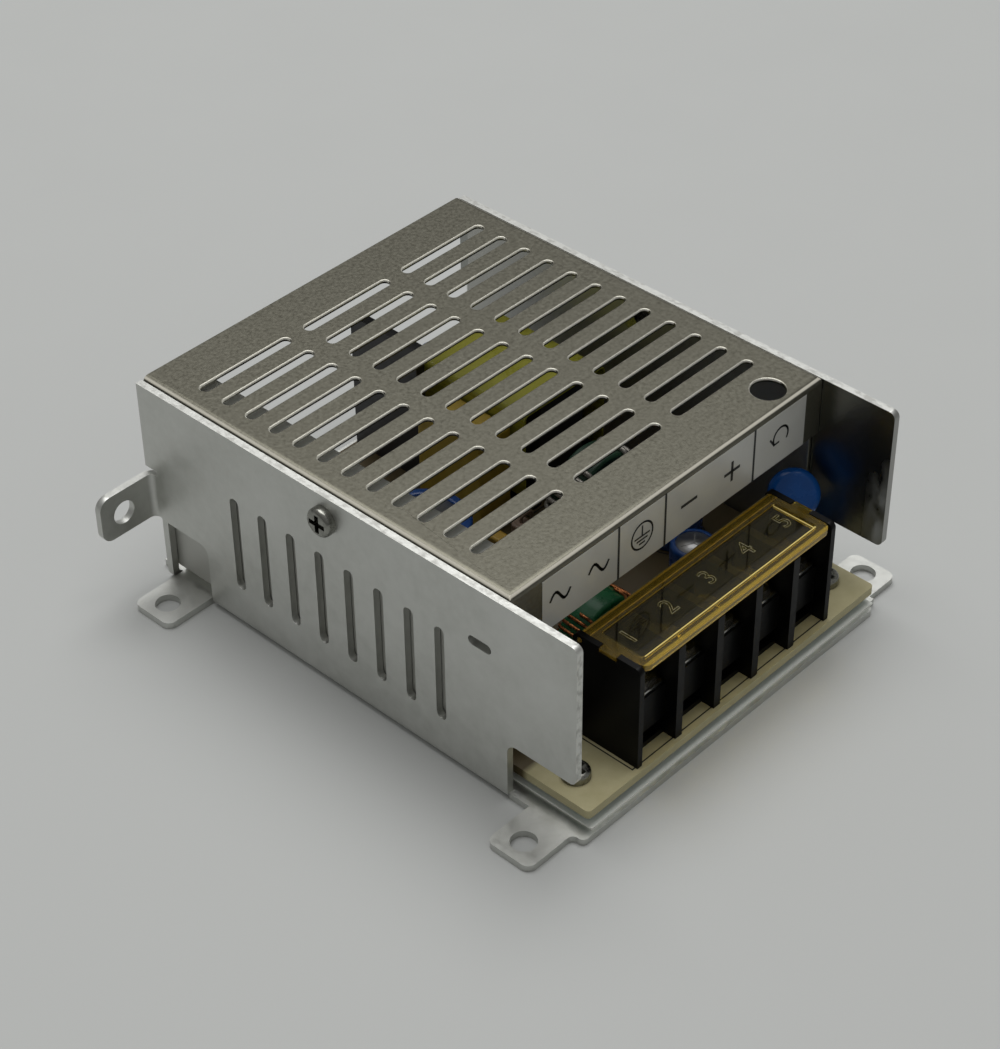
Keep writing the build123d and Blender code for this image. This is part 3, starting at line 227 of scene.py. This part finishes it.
def join_masks(masks, operation):
    """Masks taken together, one after another."""
    joined = masks[0]
    tree = joined.id_data
    for mask in masks[1:]:
        step = tree.nodes.new("ShaderNodeMath")
        step.operation = operation
        tree.links.new(joined, step.inputs[0])
        tree.links.new(mask, step.inputs[1])
        joined = step.outputs[0]
    return joined


def all_of(*masks):
    """A mask that is 1 only where every one of these is."""
    return join_masks(masks, "MULTIPLY")


def any_of(*masks):
    """A mask that is 1 where at least one of these is."""
    return join_masks(masks, "MAXIMUM")


def patches(material, scale, stretch, low, high):
    """A blotchy mask: 0 where a stretched noise is under its low value and 1 over the high."""
    tree = material.node_tree
    noise = noise_over(tree, scale, stretch, detail=5.0, roughness=0.5)
    step = tree.nodes.new("ShaderNodeMapRange")
    step.inputs["From Min"].default_value = low
    step.inputs["From Max"].default_value = high
    tree.links.new(noise, step.inputs["Value"])
    return step.outputs["Result"]


def blend(material, mask, name, value):
    """Where the mask is 1, one value or colour of the shader gives way to another.

    The mixing node keeps its number sockets and its colour sockets at different places.
    """
    tree = material.node_tree
    socket = tree.nodes["Principled BSDF"].inputs[name]
    change = tree.nodes.new("ShaderNodeMix")
    first, second, result = 2, 3, 0
    if name == "Base Color":
        change.data_type = "RGBA"
        value = (*value, 1.0)
        first, second, result = 6, 7, 2
    change.inputs[first].default_value = socket.default_value
    change.inputs[second].default_value = value
    if socket.is_linked:
        tree.links.new(socket.links[0].from_socket, change.inputs[first])
    tree.links.new(mask, change.inputs[0])
    tree.links.new(change.outputs[result], socket)


def worn(material, mask, colour, roughness, **others):
    """Where the mask is 1 the surface takes another colour, gloss and other values named."""
    blend(material, mask, "Base Color", colour)
    blend(material, mask, "Roughness", roughness)
    for name, value in others.items():
        blend(material, mask, name.replace("_", " "), value)


aluminium_colours = ((0.53, 0.535, 0.505), (0.62, 0.625, 0.595))
aluminium = finish(
    "rolled_aluminium", aluminium_colours, gloss=(0.38, 0.52), bump=0.5, scale=420.0, Metallic=1.0
)
facing, lying = surface_facts(aluminium)
scuffs = patches(aluminium, scale=45.0, stretch=(1, 1, 1), low=0.5, high=0.75)
worn(aluminium, scuffs, (0.66, 0.665, 0.64), 0.52)
# Painted shade: the right wall's inner face is darkened to stand for the shadow inside the case.
shaded_inner_face = all_of(
    within(lying["X"], wall_inner - 0.2, wall_inner + 0.2, soft=0.05),
    between(facing["X"], -1.1, -0.6, soft=0.1),
)
worn(aluminium, shaded_inner_face, (0.30, 0.305, 0.285), 0.27)
# Lighter grey cloudy patches near the front of that darkened inner face.
pale_cloud_patches = all_of(
    shaded_inner_face,
    within(lying["Y"], wall_front, wall_front + cloud_width, soft=1.2),
    within(lying["Z"], cloud_bottom, cloud_top, soft=4.0),
    patches(aluminium, scale=200.0, stretch=(1, 1, 0.5), low=0.40, high=0.60),
)
worn(aluminium, pale_cloud_patches, (0.42, 0.43, 0.42), 0.6, Metallic=0.0)
across_sheet = between(facing["X"], -1.0, 0.5, soft=0.1, absolute=True)
top_edge = all_of(across_sheet, within(lying["Z"], wall_top - 0.2, far, soft=0.1))
front_edge = all_of(
    across_sheet,
    within(lying["X"], wall_inner - 0.7, wall_outer + 0.2, soft=0.1, absolute=True),
    within(lying["Y"], wall_front - 0.5, wall_front + 1.0, soft=0.1),
    within(lying["Z"], wall_foot, far, soft=1.0),
)
cut_edge = any_of(top_edge, front_edge)
worn(aluminium, cut_edge, (0.66, 0.665, 0.635), 0.45)
shear_marks = all_of(
    cut_edge,
    patches(aluminium, scale=1100.0, stretch=(1, 0.6, 0.6), low=0.45, high=0.65),
)
worn(aluminium, shear_marks, (0.46, 0.46, 0.435), 0.5)
# Painted shade: the right wall's front cut edge is darkened, as it lies in shade.
shaded_right_wall = within(lying["X"], wall_inner - 0.7, wall_outer + 0.2, soft=0.1)
worn(aluminium, all_of(front_edge, shaded_right_wall), (0.38, 0.38, 0.365), 0.5)
dress("chassis", aluminium, edge=0.12)

# Spacers and board screws: turned steel collars on the base, and nickel-plated screws with
# cross recesses that clamp the board down on them.
nickel_colours = ((0.20, 0.20, 0.18), (0.32, 0.32, 0.29))
nickel = finish(
    "nickel_screw", nickel_colours, gloss=(0.2, 0.36), bump=0.3, scale=900.0, Metallic=1.0
)
dress("board_spacers", nickel, edge=0.08)
dress("board_screws", nickel, edge=0.08)

# Insulation sheet: white polyester film cut to the base and held by the spacers. Its left
# flap is turned up and curls over by its own spring under the cover.
film_colours = ((0.94, 0.96, 0.89), (0.97, 0.98, 0.92))
film = finish(
    "white_film", film_colours, gloss=(0.3, 0.42), bump=0.05, scale=60.0, Transmission_Weight=0.04
)
dress("insulation_sheet", film)

# Circuit board: paper laminate sawn to size, cream at its terminal end with green mask below;
# behind that, under the cover, it is painted dark brown as shade.
board_top = 5.0
cover_shade_front = -35.5
board_colours = ((0.43, 0.385, 0.21), (0.50, 0.455, 0.265))
board = finish("board_laminate", board_colours, gloss=(0.42, 0.6), bump=0.08, scale=300.0)
facing, lying = surface_facts(board)
underside = between(facing["Z"], -2.0, -0.3, soft=0.2)
blend(board, underside, "Base Color", (0.03, 0.12, 0.06))
# Painted shade: from under the cover's lip backwards the board is darkened to brown.
painted_shade_under_cover = within(lying["Y"], cover_shade_front, far, soft=0.6)
worn(board, painted_shade_under_cover, (0.10, 0.075, 0.035), 0.35)
dress("circuit_board", board, edge=0.1)


# Board legend: thin black lines screen-printed on the laminate round the place of each
# larger part, before the parts are soldered in.
def link(piece, body="case"):
    """Put a finished piece in the scene and let it move with its body."""
    bpy.context.scene.collection.objects.link(piece)
    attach(piece, body)
    return piece


def solid(name, corners, faces, material, edge=0.0, smooth=False):
    """A piece of the case from its corners in millimetres and its faces."""
    mesh = bpy.data.meshes.new(name)
    mesh.from_pydata([Vector(corner) * MM for corner in corners], [], faces)
    mesh.materials.append(material)
    if smooth:
        mesh.polygons.foreach_set("use_smooth", [True] * len(mesh.polygons))
    piece = bpy.data.objects.new(name, mesh)
    if edge:
        rounding = piece.modifiers.new("rounded_edges", "BEVEL")
        rounding.width = edge * MM
        rounding.segments = 2
        rounding.angle_limit = radians(40)
    return link(piece)


ink = finish("label_ink", ((0.010,) * 3, (0.016,) * 3), gloss=(0.45, 0.6), bump=0.05, scale=900.0)
ink_thickness = 0.02


def printed(name, runs, width, place):
    """Flat inked lines; each run of flat points is put on the piece by the place function."""
    corners = []
    faces = []
    for run in runs:
        for start, end in zip(run[:-1], run[1:]):
            along = (Vector(end) - Vector(start)).normalized() * width / 2
            side = Vector((-along.y, along.x))
            first = len(corners)
            ends = [Vector(start) - along - side, Vector(end) + along - side]
            ends += [Vector(end) + along + side, Vector(start) - along + side]
            corners += [place(point.x, point.y) for point in ends]
            faces.append(tuple(range(first, first + 4)))
    return solid(name, corners, faces, ink)


def on_board(across, along):
    """A printed point on the board."""
    return across, along, board_top + ink_thickness


def arc(x, y, radius, start, end, step):
    """Points of a circle about a place, from one angle to another in degrees."""
    angles = [radians(angle) for angle in range(start, end + 1, step)]
    return [(x + radius * cos(angle), y + radius * sin(angle)) for angle in angles]


legend_margin = 0.6
legend_front_limit = -47.6
boxed_parts = ("terminal_block", "transformer_bobbin", "x_capacitor", "bridge_rectifier")
boxed_parts += ("controller", "optocoupler", "fuse")
round_parts = ("bulk_capacitor", "output_capacitor_front")
round_parts += ("output_capacitor_middle", "output_capacitor_back")
outlines = []
for node in boxed_parts:
    low, high = (Vector(corner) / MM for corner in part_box(node))
    left, right = low.x - legend_margin, high.x + legend_margin
    front, back = max(low.y - legend_margin, legend_front_limit), high.y + legend_margin
    outlines.append([(left, front), (right, front), (right, back), (left, back), (left, front)])
for node in round_parts:
    low, high = (Vector(corner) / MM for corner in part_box(node))
    centre = (low + high) / 2
    reach = (high.x - low.x) / 2 + legend_margin
    outlines.append(arc(centre.x, centre.y, reach, start=0, end=360, step=15))
printed("board_legend", outlines, width=0.25, place=on_board)

# Terminal block: black glass-filled nylon moulded in one shot, with plated strips pressed
# through it and, over each strip, a zinc-plated screw with its square washer.
black_colours = ((0.001,) * 3, (0.002,) * 3)
black = finish(
    "black_nylon",
    black_colours,
    gloss=(0.30, 0.45),
    bump=0.12,
    scale=500.0,
    Specular_IOR_Level=0.12,
)
zinc_colours = ((0.50, 0.495, 0.47), (0.64, 0.63, 0.60))
zinc = finish("zinc_plate", zinc_colours, gloss=(0.12, 0.24), bump=0.1, scale=900.0, Metallic=1.0)
dress("terminal_block", black, edge=0.12)
dress("contact_strips", zinc, edge=0.05)
for number in range(1, 6):
    dress(f"terminal_screw_{number}", zinc, edge=0.05)
    dress(f"clamp_washer_{number}", zinc, edge=0.08)

# Terminal cover: clear amber polycarbonate moulded thin, snapped between the end walls on
# two pins, with a raised numeral over each screw. Its rim is thicker than its field.
pole_pitch = 9.5
pole_row_x = 0.2
lid_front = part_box("terminal_cover")[0][1] / MM
rim_width = 2.0
front_band_width = 0.75
field_half = 21.0
field_left = pole_row_x - field_half
field_right = pole_row_x + field_half
field_front = lid_front + rim_width
field_back = -37.6
field_top = 25.1
highlight_line = 0.25
numeral_size = 4.62
numeral_line = 0.05
numeral_y = -41.3
numeral_z = field_top + 0.02
amber = finish(
    "amber_polycarbonate",
    ((0.68, 0.47, 0.06), (0.78, 0.56, 0.09)),
    gloss=(0.08, 0.16),
    bump=0.004,
    scale=200.0,
    Transmission_Weight=0.95,
    Specular_IOR_Level=0.2,
    IOR=1.5,
)
facing, lying = surface_facts(amber)
clear_field = all_of(
    within(lying["X"], field_left, field_right, soft=0.05),
    within(lying["Y"], field_front, field_back, soft=0.05),
)
worn(amber, clear_field, (0.95, 0.78, 0.22), 0.05, Transmission_Weight=1.0)
front_band = within(lying["Y"], lid_front - 1.0, lid_front + front_band_width, soft=0.05)
worn(amber, front_band, (0.80, 0.56, 0.08), 0.12, Transmission_Weight=0.7)
# Painted highlights: the field's front step, its right end and the rim's bevelled edges are
# painted lighter and less clear, as bright lines.
front_highlight_line = all_of(
    within(lying["Y"], field_front - highlight_line, field_front, soft=0.04),
    within(lying["X"], field_left, field_right + highlight_line, soft=0.04),
)
end_highlight_line = all_of(
    within(lying["X"], field_right, field_right + highlight_line, soft=0.04),
    within(lying["Y"], field_front - highlight_line, field_back, soft=0.04),
)
painted_highlight_edge = any_of(between(facing["Z"], 0.3, 0.8, soft=0.03), front_highlight_line, end_highlight_line)
worn(amber, painted_highlight_edge, (0.95, 0.76, 0.25), 0.12, Transmission_Weight=0.35)
dress("terminal_cover", amber, edge=0.28)
numeral_amber = finish(
    "numeral_amber",
    ((0.34, 0.30, 0.10), (0.46, 0.40, 0.16)),
    gloss=(0.2, 0.35),
    bump=0.1,
    scale=900.0,
    Transmission_Weight=0.4,
)
for number in range(1, 6):
    numeral_curve = bpy.data.curves.new(f"lid_numeral_{number}", "FONT")
    numeral_curve.body = str(number)
    numeral_curve.size = numeral_size * MM
    numeral_curve.fill_mode = "NONE"
    numeral_curve.bevel_depth = numeral_line * MM
    numeral_curve.bevel_resolution = 2
    numeral_curve.align_x = "CENTER"
    numeral_curve.align_y = "CENTER"
    numeral_curve.materials.append(numeral_amber)
    numeral = bpy.data.objects.new(f"lid_numeral_{number}", numeral_curve)
    numeral_x = pole_row_x + pole_pitch * (number - 3)
    numeral.location = Vector((numeral_x, numeral_y, numeral_z)) * MM
    link(numeral, "terminal_lid")

# Electrolytic capacitors: deep-drawn aluminium cans in blue shrink sleeve. The sleeve is
# turned over the rim, and the bare lid is scored so that it can vent.
lead_tip = 2.2
lead_radius = 0.3
joint_radius = 0.75
joint_bottom = 2.9
joint_top = 3.35
sleeve_colours = ((0.006, 0.05, 0.22), (0.01, 0.075, 0.30))
sleeve_blue = finish("sleeve_blue", sleeve_colours, gloss=(0.2, 0.34), bump=0.08, scale=200.0)
can_metal = finish(
    "can_aluminium",
    ((0.48, 0.48, 0.47), (0.6, 0.6, 0.59)),
    gloss=(0.3, 0.45),
    bump=0.1,
    scale=500.0,
    stretch=(1, 0.1, 1),
    Metallic=1.0,
)
score_colours = ((0.18, 0.18, 0.17), (0.26, 0.26, 0.25))
score_metal = finish(
    "scored_aluminium", score_colours, gloss=(0.45, 0.6), bump=0.1, scale=700.0, Metallic=0.8
)


def turned(name, x, y, profile, material, steps=48):
    """A turned piece: a profile of (radius, height) points spun about an upright axis."""
    turns = [2 * pi * i / steps for i in range(steps)]
    corners = [(x + r * cos(turn), y + r * sin(turn), z) for r, z in profile for turn in turns]
    faces = []
    for ring in range(len(profile) - 1):
        below, above = ring * steps, (ring + 1) * steps
        for i in range(steps):
            j = (i + 1) % steps
            faces.append((below + i, below + j, above + j, above + i))
    faces.append(tuple(reversed(range(steps))))
    faces.append(tuple((len(profile) - 1) * steps + i for i in range(steps)))
    return solid(name, corners, faces, material, smooth=True)


def can_capacitor(node, x, y, radius, top, half_pitch):
    """A sleeved can with its rolled groove, its scored lid and two soldered leads.

    Each profile point is a radius and a height, from the foot of the sleeve up and over.
    """
    groove = board_top + 2.4
    sleeve = [(radius - 0.5, board_top), (radius - 0.1, board_top + 0.1)]
    sleeve += [(radius, board_top + 0.4), (radius, groove - 0.6)]
    sleeve += [(radius - 0.15, groove - 0.3), (radius - 0.4, groove)]
    sleeve += [(radius - 0.15, groove + 0.3), (radius, groove + 0.6)]
    sleeve += [(radius, top - 0.7), (radius - 0.06, top - 0.4)]
    sleeve += [(radius - 0.25, top - 0.12), (radius - 0.6, top)]
    sleeve += [(radius * 0.78, top - 0.02), (radius * 0.77, top - 0.10)]
    sleeve += [(radius * 0.76, top - 0.22)]
    piece = turned(node + "_sleeve", x, y, sleeve, sleeve_blue)
    piece.modifiers.new("crisp", "EDGE_SPLIT").split_angle = radians(50)
    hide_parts(node)
    lid_edge = radius * 0.768
    lid = [(radius * 0.2, top - 0.3), (lid_edge, top - 0.24)]
    lid += [(lid_edge, top - 0.21), (0.05, top - 0.17)]
    turned(node + "_lid", x, y, lid, can_metal)
    score_length = radius * 0.6
    score_half = 0.07
    scores = []
    for angle in (35, 155, 275):
        arm = Vector((cos(radians(angle)), sin(radians(angle))))
        side = Vector((-arm.y, arm.x)) * score_half
        for point in (side, -side, arm * score_length - side, arm * score_length + side):
            scores.append((x + point.x, y + point.y, top - 0.155))
    faces = [tuple(range(4 * i, 4 * i + 4)) for i in range(3)]
    solid(node + "_vent_scores", scores, faces, score_metal)
    lead = [(lead_radius, lead_tip), (lead_radius, joint_bottom), (joint_radius, joint_top)]
    lead += [(lead_radius, board_top), (lead_radius, board_top + 0.5)]
    turned(node + "_lead_left", x - half_pitch, y, lead, zinc, steps=16)
    turned(node + "_lead_right", x + half_pitch, y, lead, zinc, steps=16)


can_capacitor("bulk_capacitor", x=-23.7, y=-2.0, radius=8.0, top=30.0, half_pitch=3.75)
can_capacitor("output_capacitor_front", x=12.7, y=-28.4, radius=4.0, top=17.5, half_pitch=1.75)
can_capacitor("output_capacitor_middle", x=24.0, y=-15.0, radius=5.0, top=21.0, half_pitch=2.5)
can_capacitor("output_capacitor_back", x=22.0, y=39.0, radius=4.0, top=19.0, half_pitch=1.75)

# Line choke and output inductor: coated powder rings, each with two single-layer windings
# of stiff enamelled or tinned wire whose ends are soldered into the board.
green_colours = ((0.012, 0.13, 0.045), (0.02, 0.19, 0.07))
ring_green = finish("ring_green", green_colours, gloss=(0.2, 0.35), bump=0.15, scale=400.0)
dark_green_colours = ((0.012, 0.045, 0.022), (0.02, 0.075, 0.038))
dark_green = finish(
    "ring_dark_green", dark_green_colours, gloss=(0.38, 0.55), bump=0.15, scale=400.0
)
copper_colours = ((0.30, 0.10, 0.035), (0.50, 0.19, 0.07))
copper = finish(
    "enamelled_copper", copper_colours, gloss=(0.2, 0.34), bump=0.05, scale=600.0, Metallic=0.9
)
tinned_colours = ((0.36, 0.34, 0.30), (0.47, 0.45, 0.40))
tinned = finish(
    "tinned_wire", tinned_colours, gloss=(0.34, 0.5), bump=0.1, scale=600.0, Metallic=0.6
)
dress("choke_core", ring_green, edge=0.1)
dress("inductor_core", dark_green, edge=0.1)


def wire(name, points, thickness, material):
    """A bent wire through points in millimetres."""
    curve = bpy.data.curves.new(name, "CURVE")
    curve.dimensions = "3D"
    curve.bevel_depth = thickness / 2 * MM
    curve.bevel_resolution = 2
    curve.use_fill_caps = True
    run = curve.splines.new("POLY")
    run.points.add(len(points) - 1)
    for knot, point in zip(run.points, points):
        knot.co = (*(Vector(point) * MM), 1.0)
    curve.materials.append(material)
    return link(bpy.data.objects.new(name, curve))


def squared(wave):
    """A sine or cosine bulged towards a square, so a turn hugs the ring's square section."""
    return abs(wave) ** 0.45 * (1 if wave >= 0 else -1)


def ring_winding(name, x, y, radius, hole, width, thickness, turns, start, end, material):
    """One side's winding: a helix round the ring, with its first end led to the board."""
    middle = (radius + hole) / 2
    reach = (radius - hole) / 2 + thickness / 2
    half = width / 2 + thickness / 2
    centre_z = board_top + radius
    steps = 20
    points = []
    for i in range(turns * steps + 1):
        turn = 2 * pi * i / steps
        around = radians(start + (end - start) * i / (turns * steps))
        out = middle + reach * squared(cos(turn))
        across = half * squared(sin(turn))
        points.append((x + out * cos(around), y + across, centre_z + out * sin(around)))
    points.insert(0, (points[0][0], points[0][1], lead_tip))
    return wire(name, points, thickness, material)


choke = dict(x=-11.5, y=-28.5, radius=8.0, hole=4.2, width=5.0, thickness=0.55, turns=15)
choke_right = ring_winding("choke_winding_right", **choke, start=-60, end=60, material=copper)
ring_winding("choke_winding_left", **choke, start=240, end=120, material=copper)
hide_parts("choke_windings")
inductor = dict(x=15.5, y=-4.0, radius=8.5, hole=4.6, width=6.0, thickness=1.0, turns=10)
inductor_right = ring_winding(
    "inductor_winding_right", **inductor, start=-58, end=60, material=tinned
)
ring_winding("inductor_winding_left", **inductor, start=238, end=120, material=tinned)
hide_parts("inductor_windings")

# Dipped parts: a blue safety capacitor leaning by the trimmer, another on the line side, a
# black thermistor, a mustard snubber capacitor and brown lacquered resistors. Each hangs on
# its own leads and is dipped in resin.
blue_colours = ((0.001, 0.052, 0.22), (0.002, 0.07, 0.28))
blue_lacquer = finish(
    "blue_lacquer",
    blue_colours,
    gloss=(0.2, 0.3),
    bump=0.15,
    scale=260.0,
    Specular_IOR_Level=0.3,
)
black_lacquer_colours = ((0.014, 0.018, 0.014), (0.025, 0.03, 0.025))
black_lacquer = finish(
    "black_lacquer", black_lacquer_colours, gloss=(0.25, 0.4), bump=0.15, scale=260.0
)
mustard_colours = ((0.40, 0.24, 0.03), (0.50, 0.32, 0.05))
mustard = finish("mustard_lacquer", mustard_colours, gloss=(0.28, 0.42), bump=0.15, scale=260.0)
brown_colours = ((0.17, 0.12, 0.085), (0.24, 0.17, 0.125))
brown = finish("resistor_brown", brown_colours, gloss=(0.3, 0.45), bump=0.15, scale=300.0)
dress("disc_capacitor", blue_lacquer)
dress("y_capacitor", blue_lacquer)
dress("thermistor", black_lacquer)
dress("snubber_capacitor", mustard)
dress("upright_resistor", brown)
dress("resistors", brown)

# Line capacitor: a wound film capacitor potted with resin in a yellow moulded box, which
# stands on the board by its two leads.
yellow_colours = ((0.50, 0.34, 0.04), (0.60, 0.43, 0.07))
yellow = finish("yellow_case", yellow_colours, gloss=(0.34, 0.5), bump=0.1, scale=400.0)
dress("x_capacitor", yellow, edge=0.4)

# Fuse: a glass tube between two nickel-plated caps, snapped into spring clips of tinned
# brass that are soldered to the board.
fuse_cap_length = 5.0
cap_colours = ((0.52, 0.50, 0.44), (0.60, 0.58, 0.52))
glass = finish("fuse_glass", cap_colours, gloss=(0.2, 0.3), bump=0.05, scale=200.0, Metallic=1.0)
facing, lying = surface_facts(glass)
low, high = (Vector(corner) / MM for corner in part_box("fuse"))
tube = within(lying["Y"], low.y + fuse_cap_length, high.y - fuse_cap_length, soft=0.02)
worn(glass, tube, (0.92, 0.95, 0.93), 0.05, Metallic=0.0, Transmission_Weight=1.0)
dress("fuse", glass)
dress("fuse_clips", tinned, edge=0.05)

# Transformer: two ferrite core halves glued round a moulded bobbin with its enamelled
# winding, and a wrap of yellow polyester tape in lapped turns over them.
ferrite_colours = ((0.02, 0.02, 0.02), (0.036, 0.034, 0.034))
ferrite = finish("ferrite", ferrite_colours, gloss=(0.5, 0.7), bump=0.2, scale=600.0)
tape_colours = ((0.38, 0.37, 0.04), (0.48, 0.46, 0.06))
tape = finish("yellow_tape", tape_colours, gloss=(0.22, 0.4), bump=0.12, scale=160.0)
tape_steps = patches(tape, scale=900.0, stretch=(0.02, 0.02, 1), low=0.47, high=0.53)
worn(tape, tape_steps, (0.31, 0.30, 0.03), 0.42)
dress("transformer_core_lower", ferrite, edge=0.15)
dress("transformer_core_upper", ferrite, edge=0.15)
dress("transformer_bobbin", black, edge=0.1)
dress("transformer_winding", copper)
dress("transformer_wrap", tape, edge=0.05)

# Heat sinks and semiconductors: black anodised aluminium blades, each with a moulded power
# package screwed to it, and the smaller black packages and diodes that stand on the board.
anodised = finish(
    "black_anodised",
    ((0.02, 0.02, 0.022), (0.032, 0.032, 0.034)),
    gloss=(0.38, 0.55),
    bump=0.1,
    scale=700.0,
    stretch=(1, 0.1, 1),
    Metallic=0.3,
)
dress("heat_sink_right", anodised, edge=0.1)
dress("heat_sink_left", anodised, edge=0.1)
screwed_packages = ("output_rectifier", "power_transistor")
standing_packages = ("bridge_rectifier", "controller", "optocoupler", "diodes")
for package in screwed_packages + standing_packages:
    dress(package, black, edge=0.05)
dress("rectifier_screw", zinc, edge=0.05)
dress("transistor_screw", zinc, edge=0.05)

# Trimmer: a small moulded blue box soldered to the board under the round hole of the cover,
# with a cream slotted rotor pressed into it.
trimmer_colours = ((0.02, 0.10, 0.32), (0.03, 0.14, 0.40))
trimmer_blue = finish("trimmer_blue", trimmer_colours, gloss=(0.34, 0.5), bump=0.1, scale=500.0)
rotor_colours = ((0.55, 0.49, 0.34), (0.64, 0.58, 0.42))
rotor_cream = finish("rotor_cream", rotor_colours, gloss=(0.34, 0.5), bump=0.1, scale=500.0)
dress("trimmer_body", trimmer_blue, edge=0.08)
dress("trimmer_rotor", rotor_cream, edge=0.05)

# Cover: nickel-plated steel punched with three columns of slots and folded down at both sides and
# in front; it slips between the chassis walls. Its bends and the front-facing slot rims carry
# painted highlights, and its side flanges are painted lighter as lit faces.
cover_top = 40.6
slot_highlight_depth = 0.4
fold_height = 1.3
flange_top = 38.0
vents_half_width = 35.5
vents_front = -33.0
vents_back = 48.0
plated = finish(
    "plated_cover_steel",
    ((0.126, 0.12, 0.094), (0.172, 0.166, 0.134)),
    gloss=(0.36, 0.5),
    bump=0.3,
    scale=1500.0,
    detail=3.0,
    Metallic=1.0,
)
facing, lying = surface_facts(plated)
# Painted light: the side flanges are lighter and more neutral than the top of the same sheet, as
# lit faces.
flange = all_of(
    between(facing["X"], 0.7, 2.0, soft=0.1, absolute=True),
    within(lying["Z"], -1.0, flange_top, soft=0.2),
)
worn(plated, flange, (0.50, 0.50, 0.47), 0.5)
# Painted highlight: the bends along the top's edges are painted pale and less metallic, as bright
# lines.
fold_highlight = all_of(
    within(lying["Z"], cover_top - fold_height, far, soft=0.1),
    between(facing["Z"], 0.6, 0.88, soft=0.06),
)
worn(plated, fold_highlight, (0.85, 0.81, 0.69), 0.30, Metallic=0.4)
# Painted highlight: the upper rim of each slot wall facing the front is painted near-white, as a
# bright line.
slot_rim_highlight = all_of(
    within(lying["X"], -far, vents_half_width, soft=0.1, absolute=True),
    within(lying["Y"], vents_front, vents_back, soft=0.1),
    within(lying["Z"], cover_top - slot_highlight_depth, far, soft=0.05),
    between(facing["Z"], -1.0, 0.9, soft=0.05),
    between(facing["Y"], -2.0, 0.1, soft=0.1),
)
worn(plated, slot_rim_highlight, (0.98, 0.96, 0.86), 0.35, Metallic=0.0)
dress("cover", plated, edge=0.2, punched=True)

# Cover label: a foil strip stuck to the cover's front lip, ruled into fields with a plain
# sign over each pole and a turning arrow over the trimmer.
lip_face = -34.0
label_face = -34.06
label_left = -30.6
label_right = 33.3
label_bottom = 29.1
label_top = 39.3
foil_colours = ((0.58, 0.58, 0.555), (0.64, 0.64, 0.61))
foil = finish("label_foil", foil_colours, gloss=(0.3, 0.42), bump=0.05, scale=120.0, Metallic=0.3)
label_corners = [
    (x, y, z)
    for z in (label_bottom, label_top)
    for y in (label_face, lip_face)
    for x in (label_left, label_right)
]
box_faces = [(0, 2, 3, 1), (4, 5, 7, 6), (0, 1, 5, 4), (2, 6, 7, 3), (0, 4, 6, 2), (1, 3, 7, 5)]
solid("front_label", label_corners, box_faces, foil, edge=0.02)


def on_label(across, up):
    """A printed point on the label."""
    return across, label_face - ink_thickness, up


field_lines = (-13.2, -2.1, 20.0)
rules = [[(x, label_bottom + 0.1), (x, label_top - 0.1)] for x in field_lines]
printed("label_rules", rules, width=0.5, place=on_label)

sign_z = 34.4
wave_half = 2.2
wave_height = 1.1
wave_steps = 12
waves = []
for wave_x in (-26.6, -17.8):
    wave = []
    for i in range(wave_steps + 1):
        turn = 2 * pi * i / wave_steps
        across = wave_x - wave_half + 2 * wave_half * i / wave_steps
        wave.append((across, sign_z + wave_height * sin(turn)))
    waves.append(wave)
printed("label_waves", waves, width=0.5, place=on_label)

earth_x = -7.65
earth_radius = 2.5
earth = [[(earth_x, sign_z + 1.9), (earth_x, sign_z)]]
for drop, half in ((0.0, 1.65), (0.7, 1.15), (1.4, 0.55)):
    earth.append([(earth_x - half, sign_z - drop), (earth_x + half, sign_z - drop)])
earth.append(arc(earth_x, sign_z + 0.1, earth_radius, start=0, end=360, step=12))
printed("label_earth", earth, width=0.35, place=on_label)

minus_x = 3.7
plus_x = 14.4
sign_half = 1.7
minus = [(minus_x - sign_half, sign_z), (minus_x + sign_half, sign_z)]
plus_bar = [(plus_x - sign_half, sign_z), (plus_x + sign_half, sign_z)]
plus_post = [(plus_x, sign_z - sign_half), (plus_x, sign_z + sign_half)]
printed("label_minus", [minus], width=0.6, place=on_label)
printed("label_plus", [plus_bar, plus_post], width=0.6, place=on_label)

turn_x = 26.9
turn_radius = 1.9
turn_arc = arc(turn_x, sign_z, turn_radius, start=-30, end=210, step=15)
arrowhead = [(turn_x - 2.7, sign_z + 0.5), turn_arc[-1], (turn_x - 0.5, sign_z - 0.9)]
printed("label_turn", [turn_arc, arrowhead], width=0.4, place=on_label)

# Cover screws: nickel-plated steel with cross recesses. One goes through each chassis wall
# into the tapped flange of the cover.
dress("cover_screw_left", nickel, edge=0.08)
dress("cover_screw_right", nickel, edge=0.08)
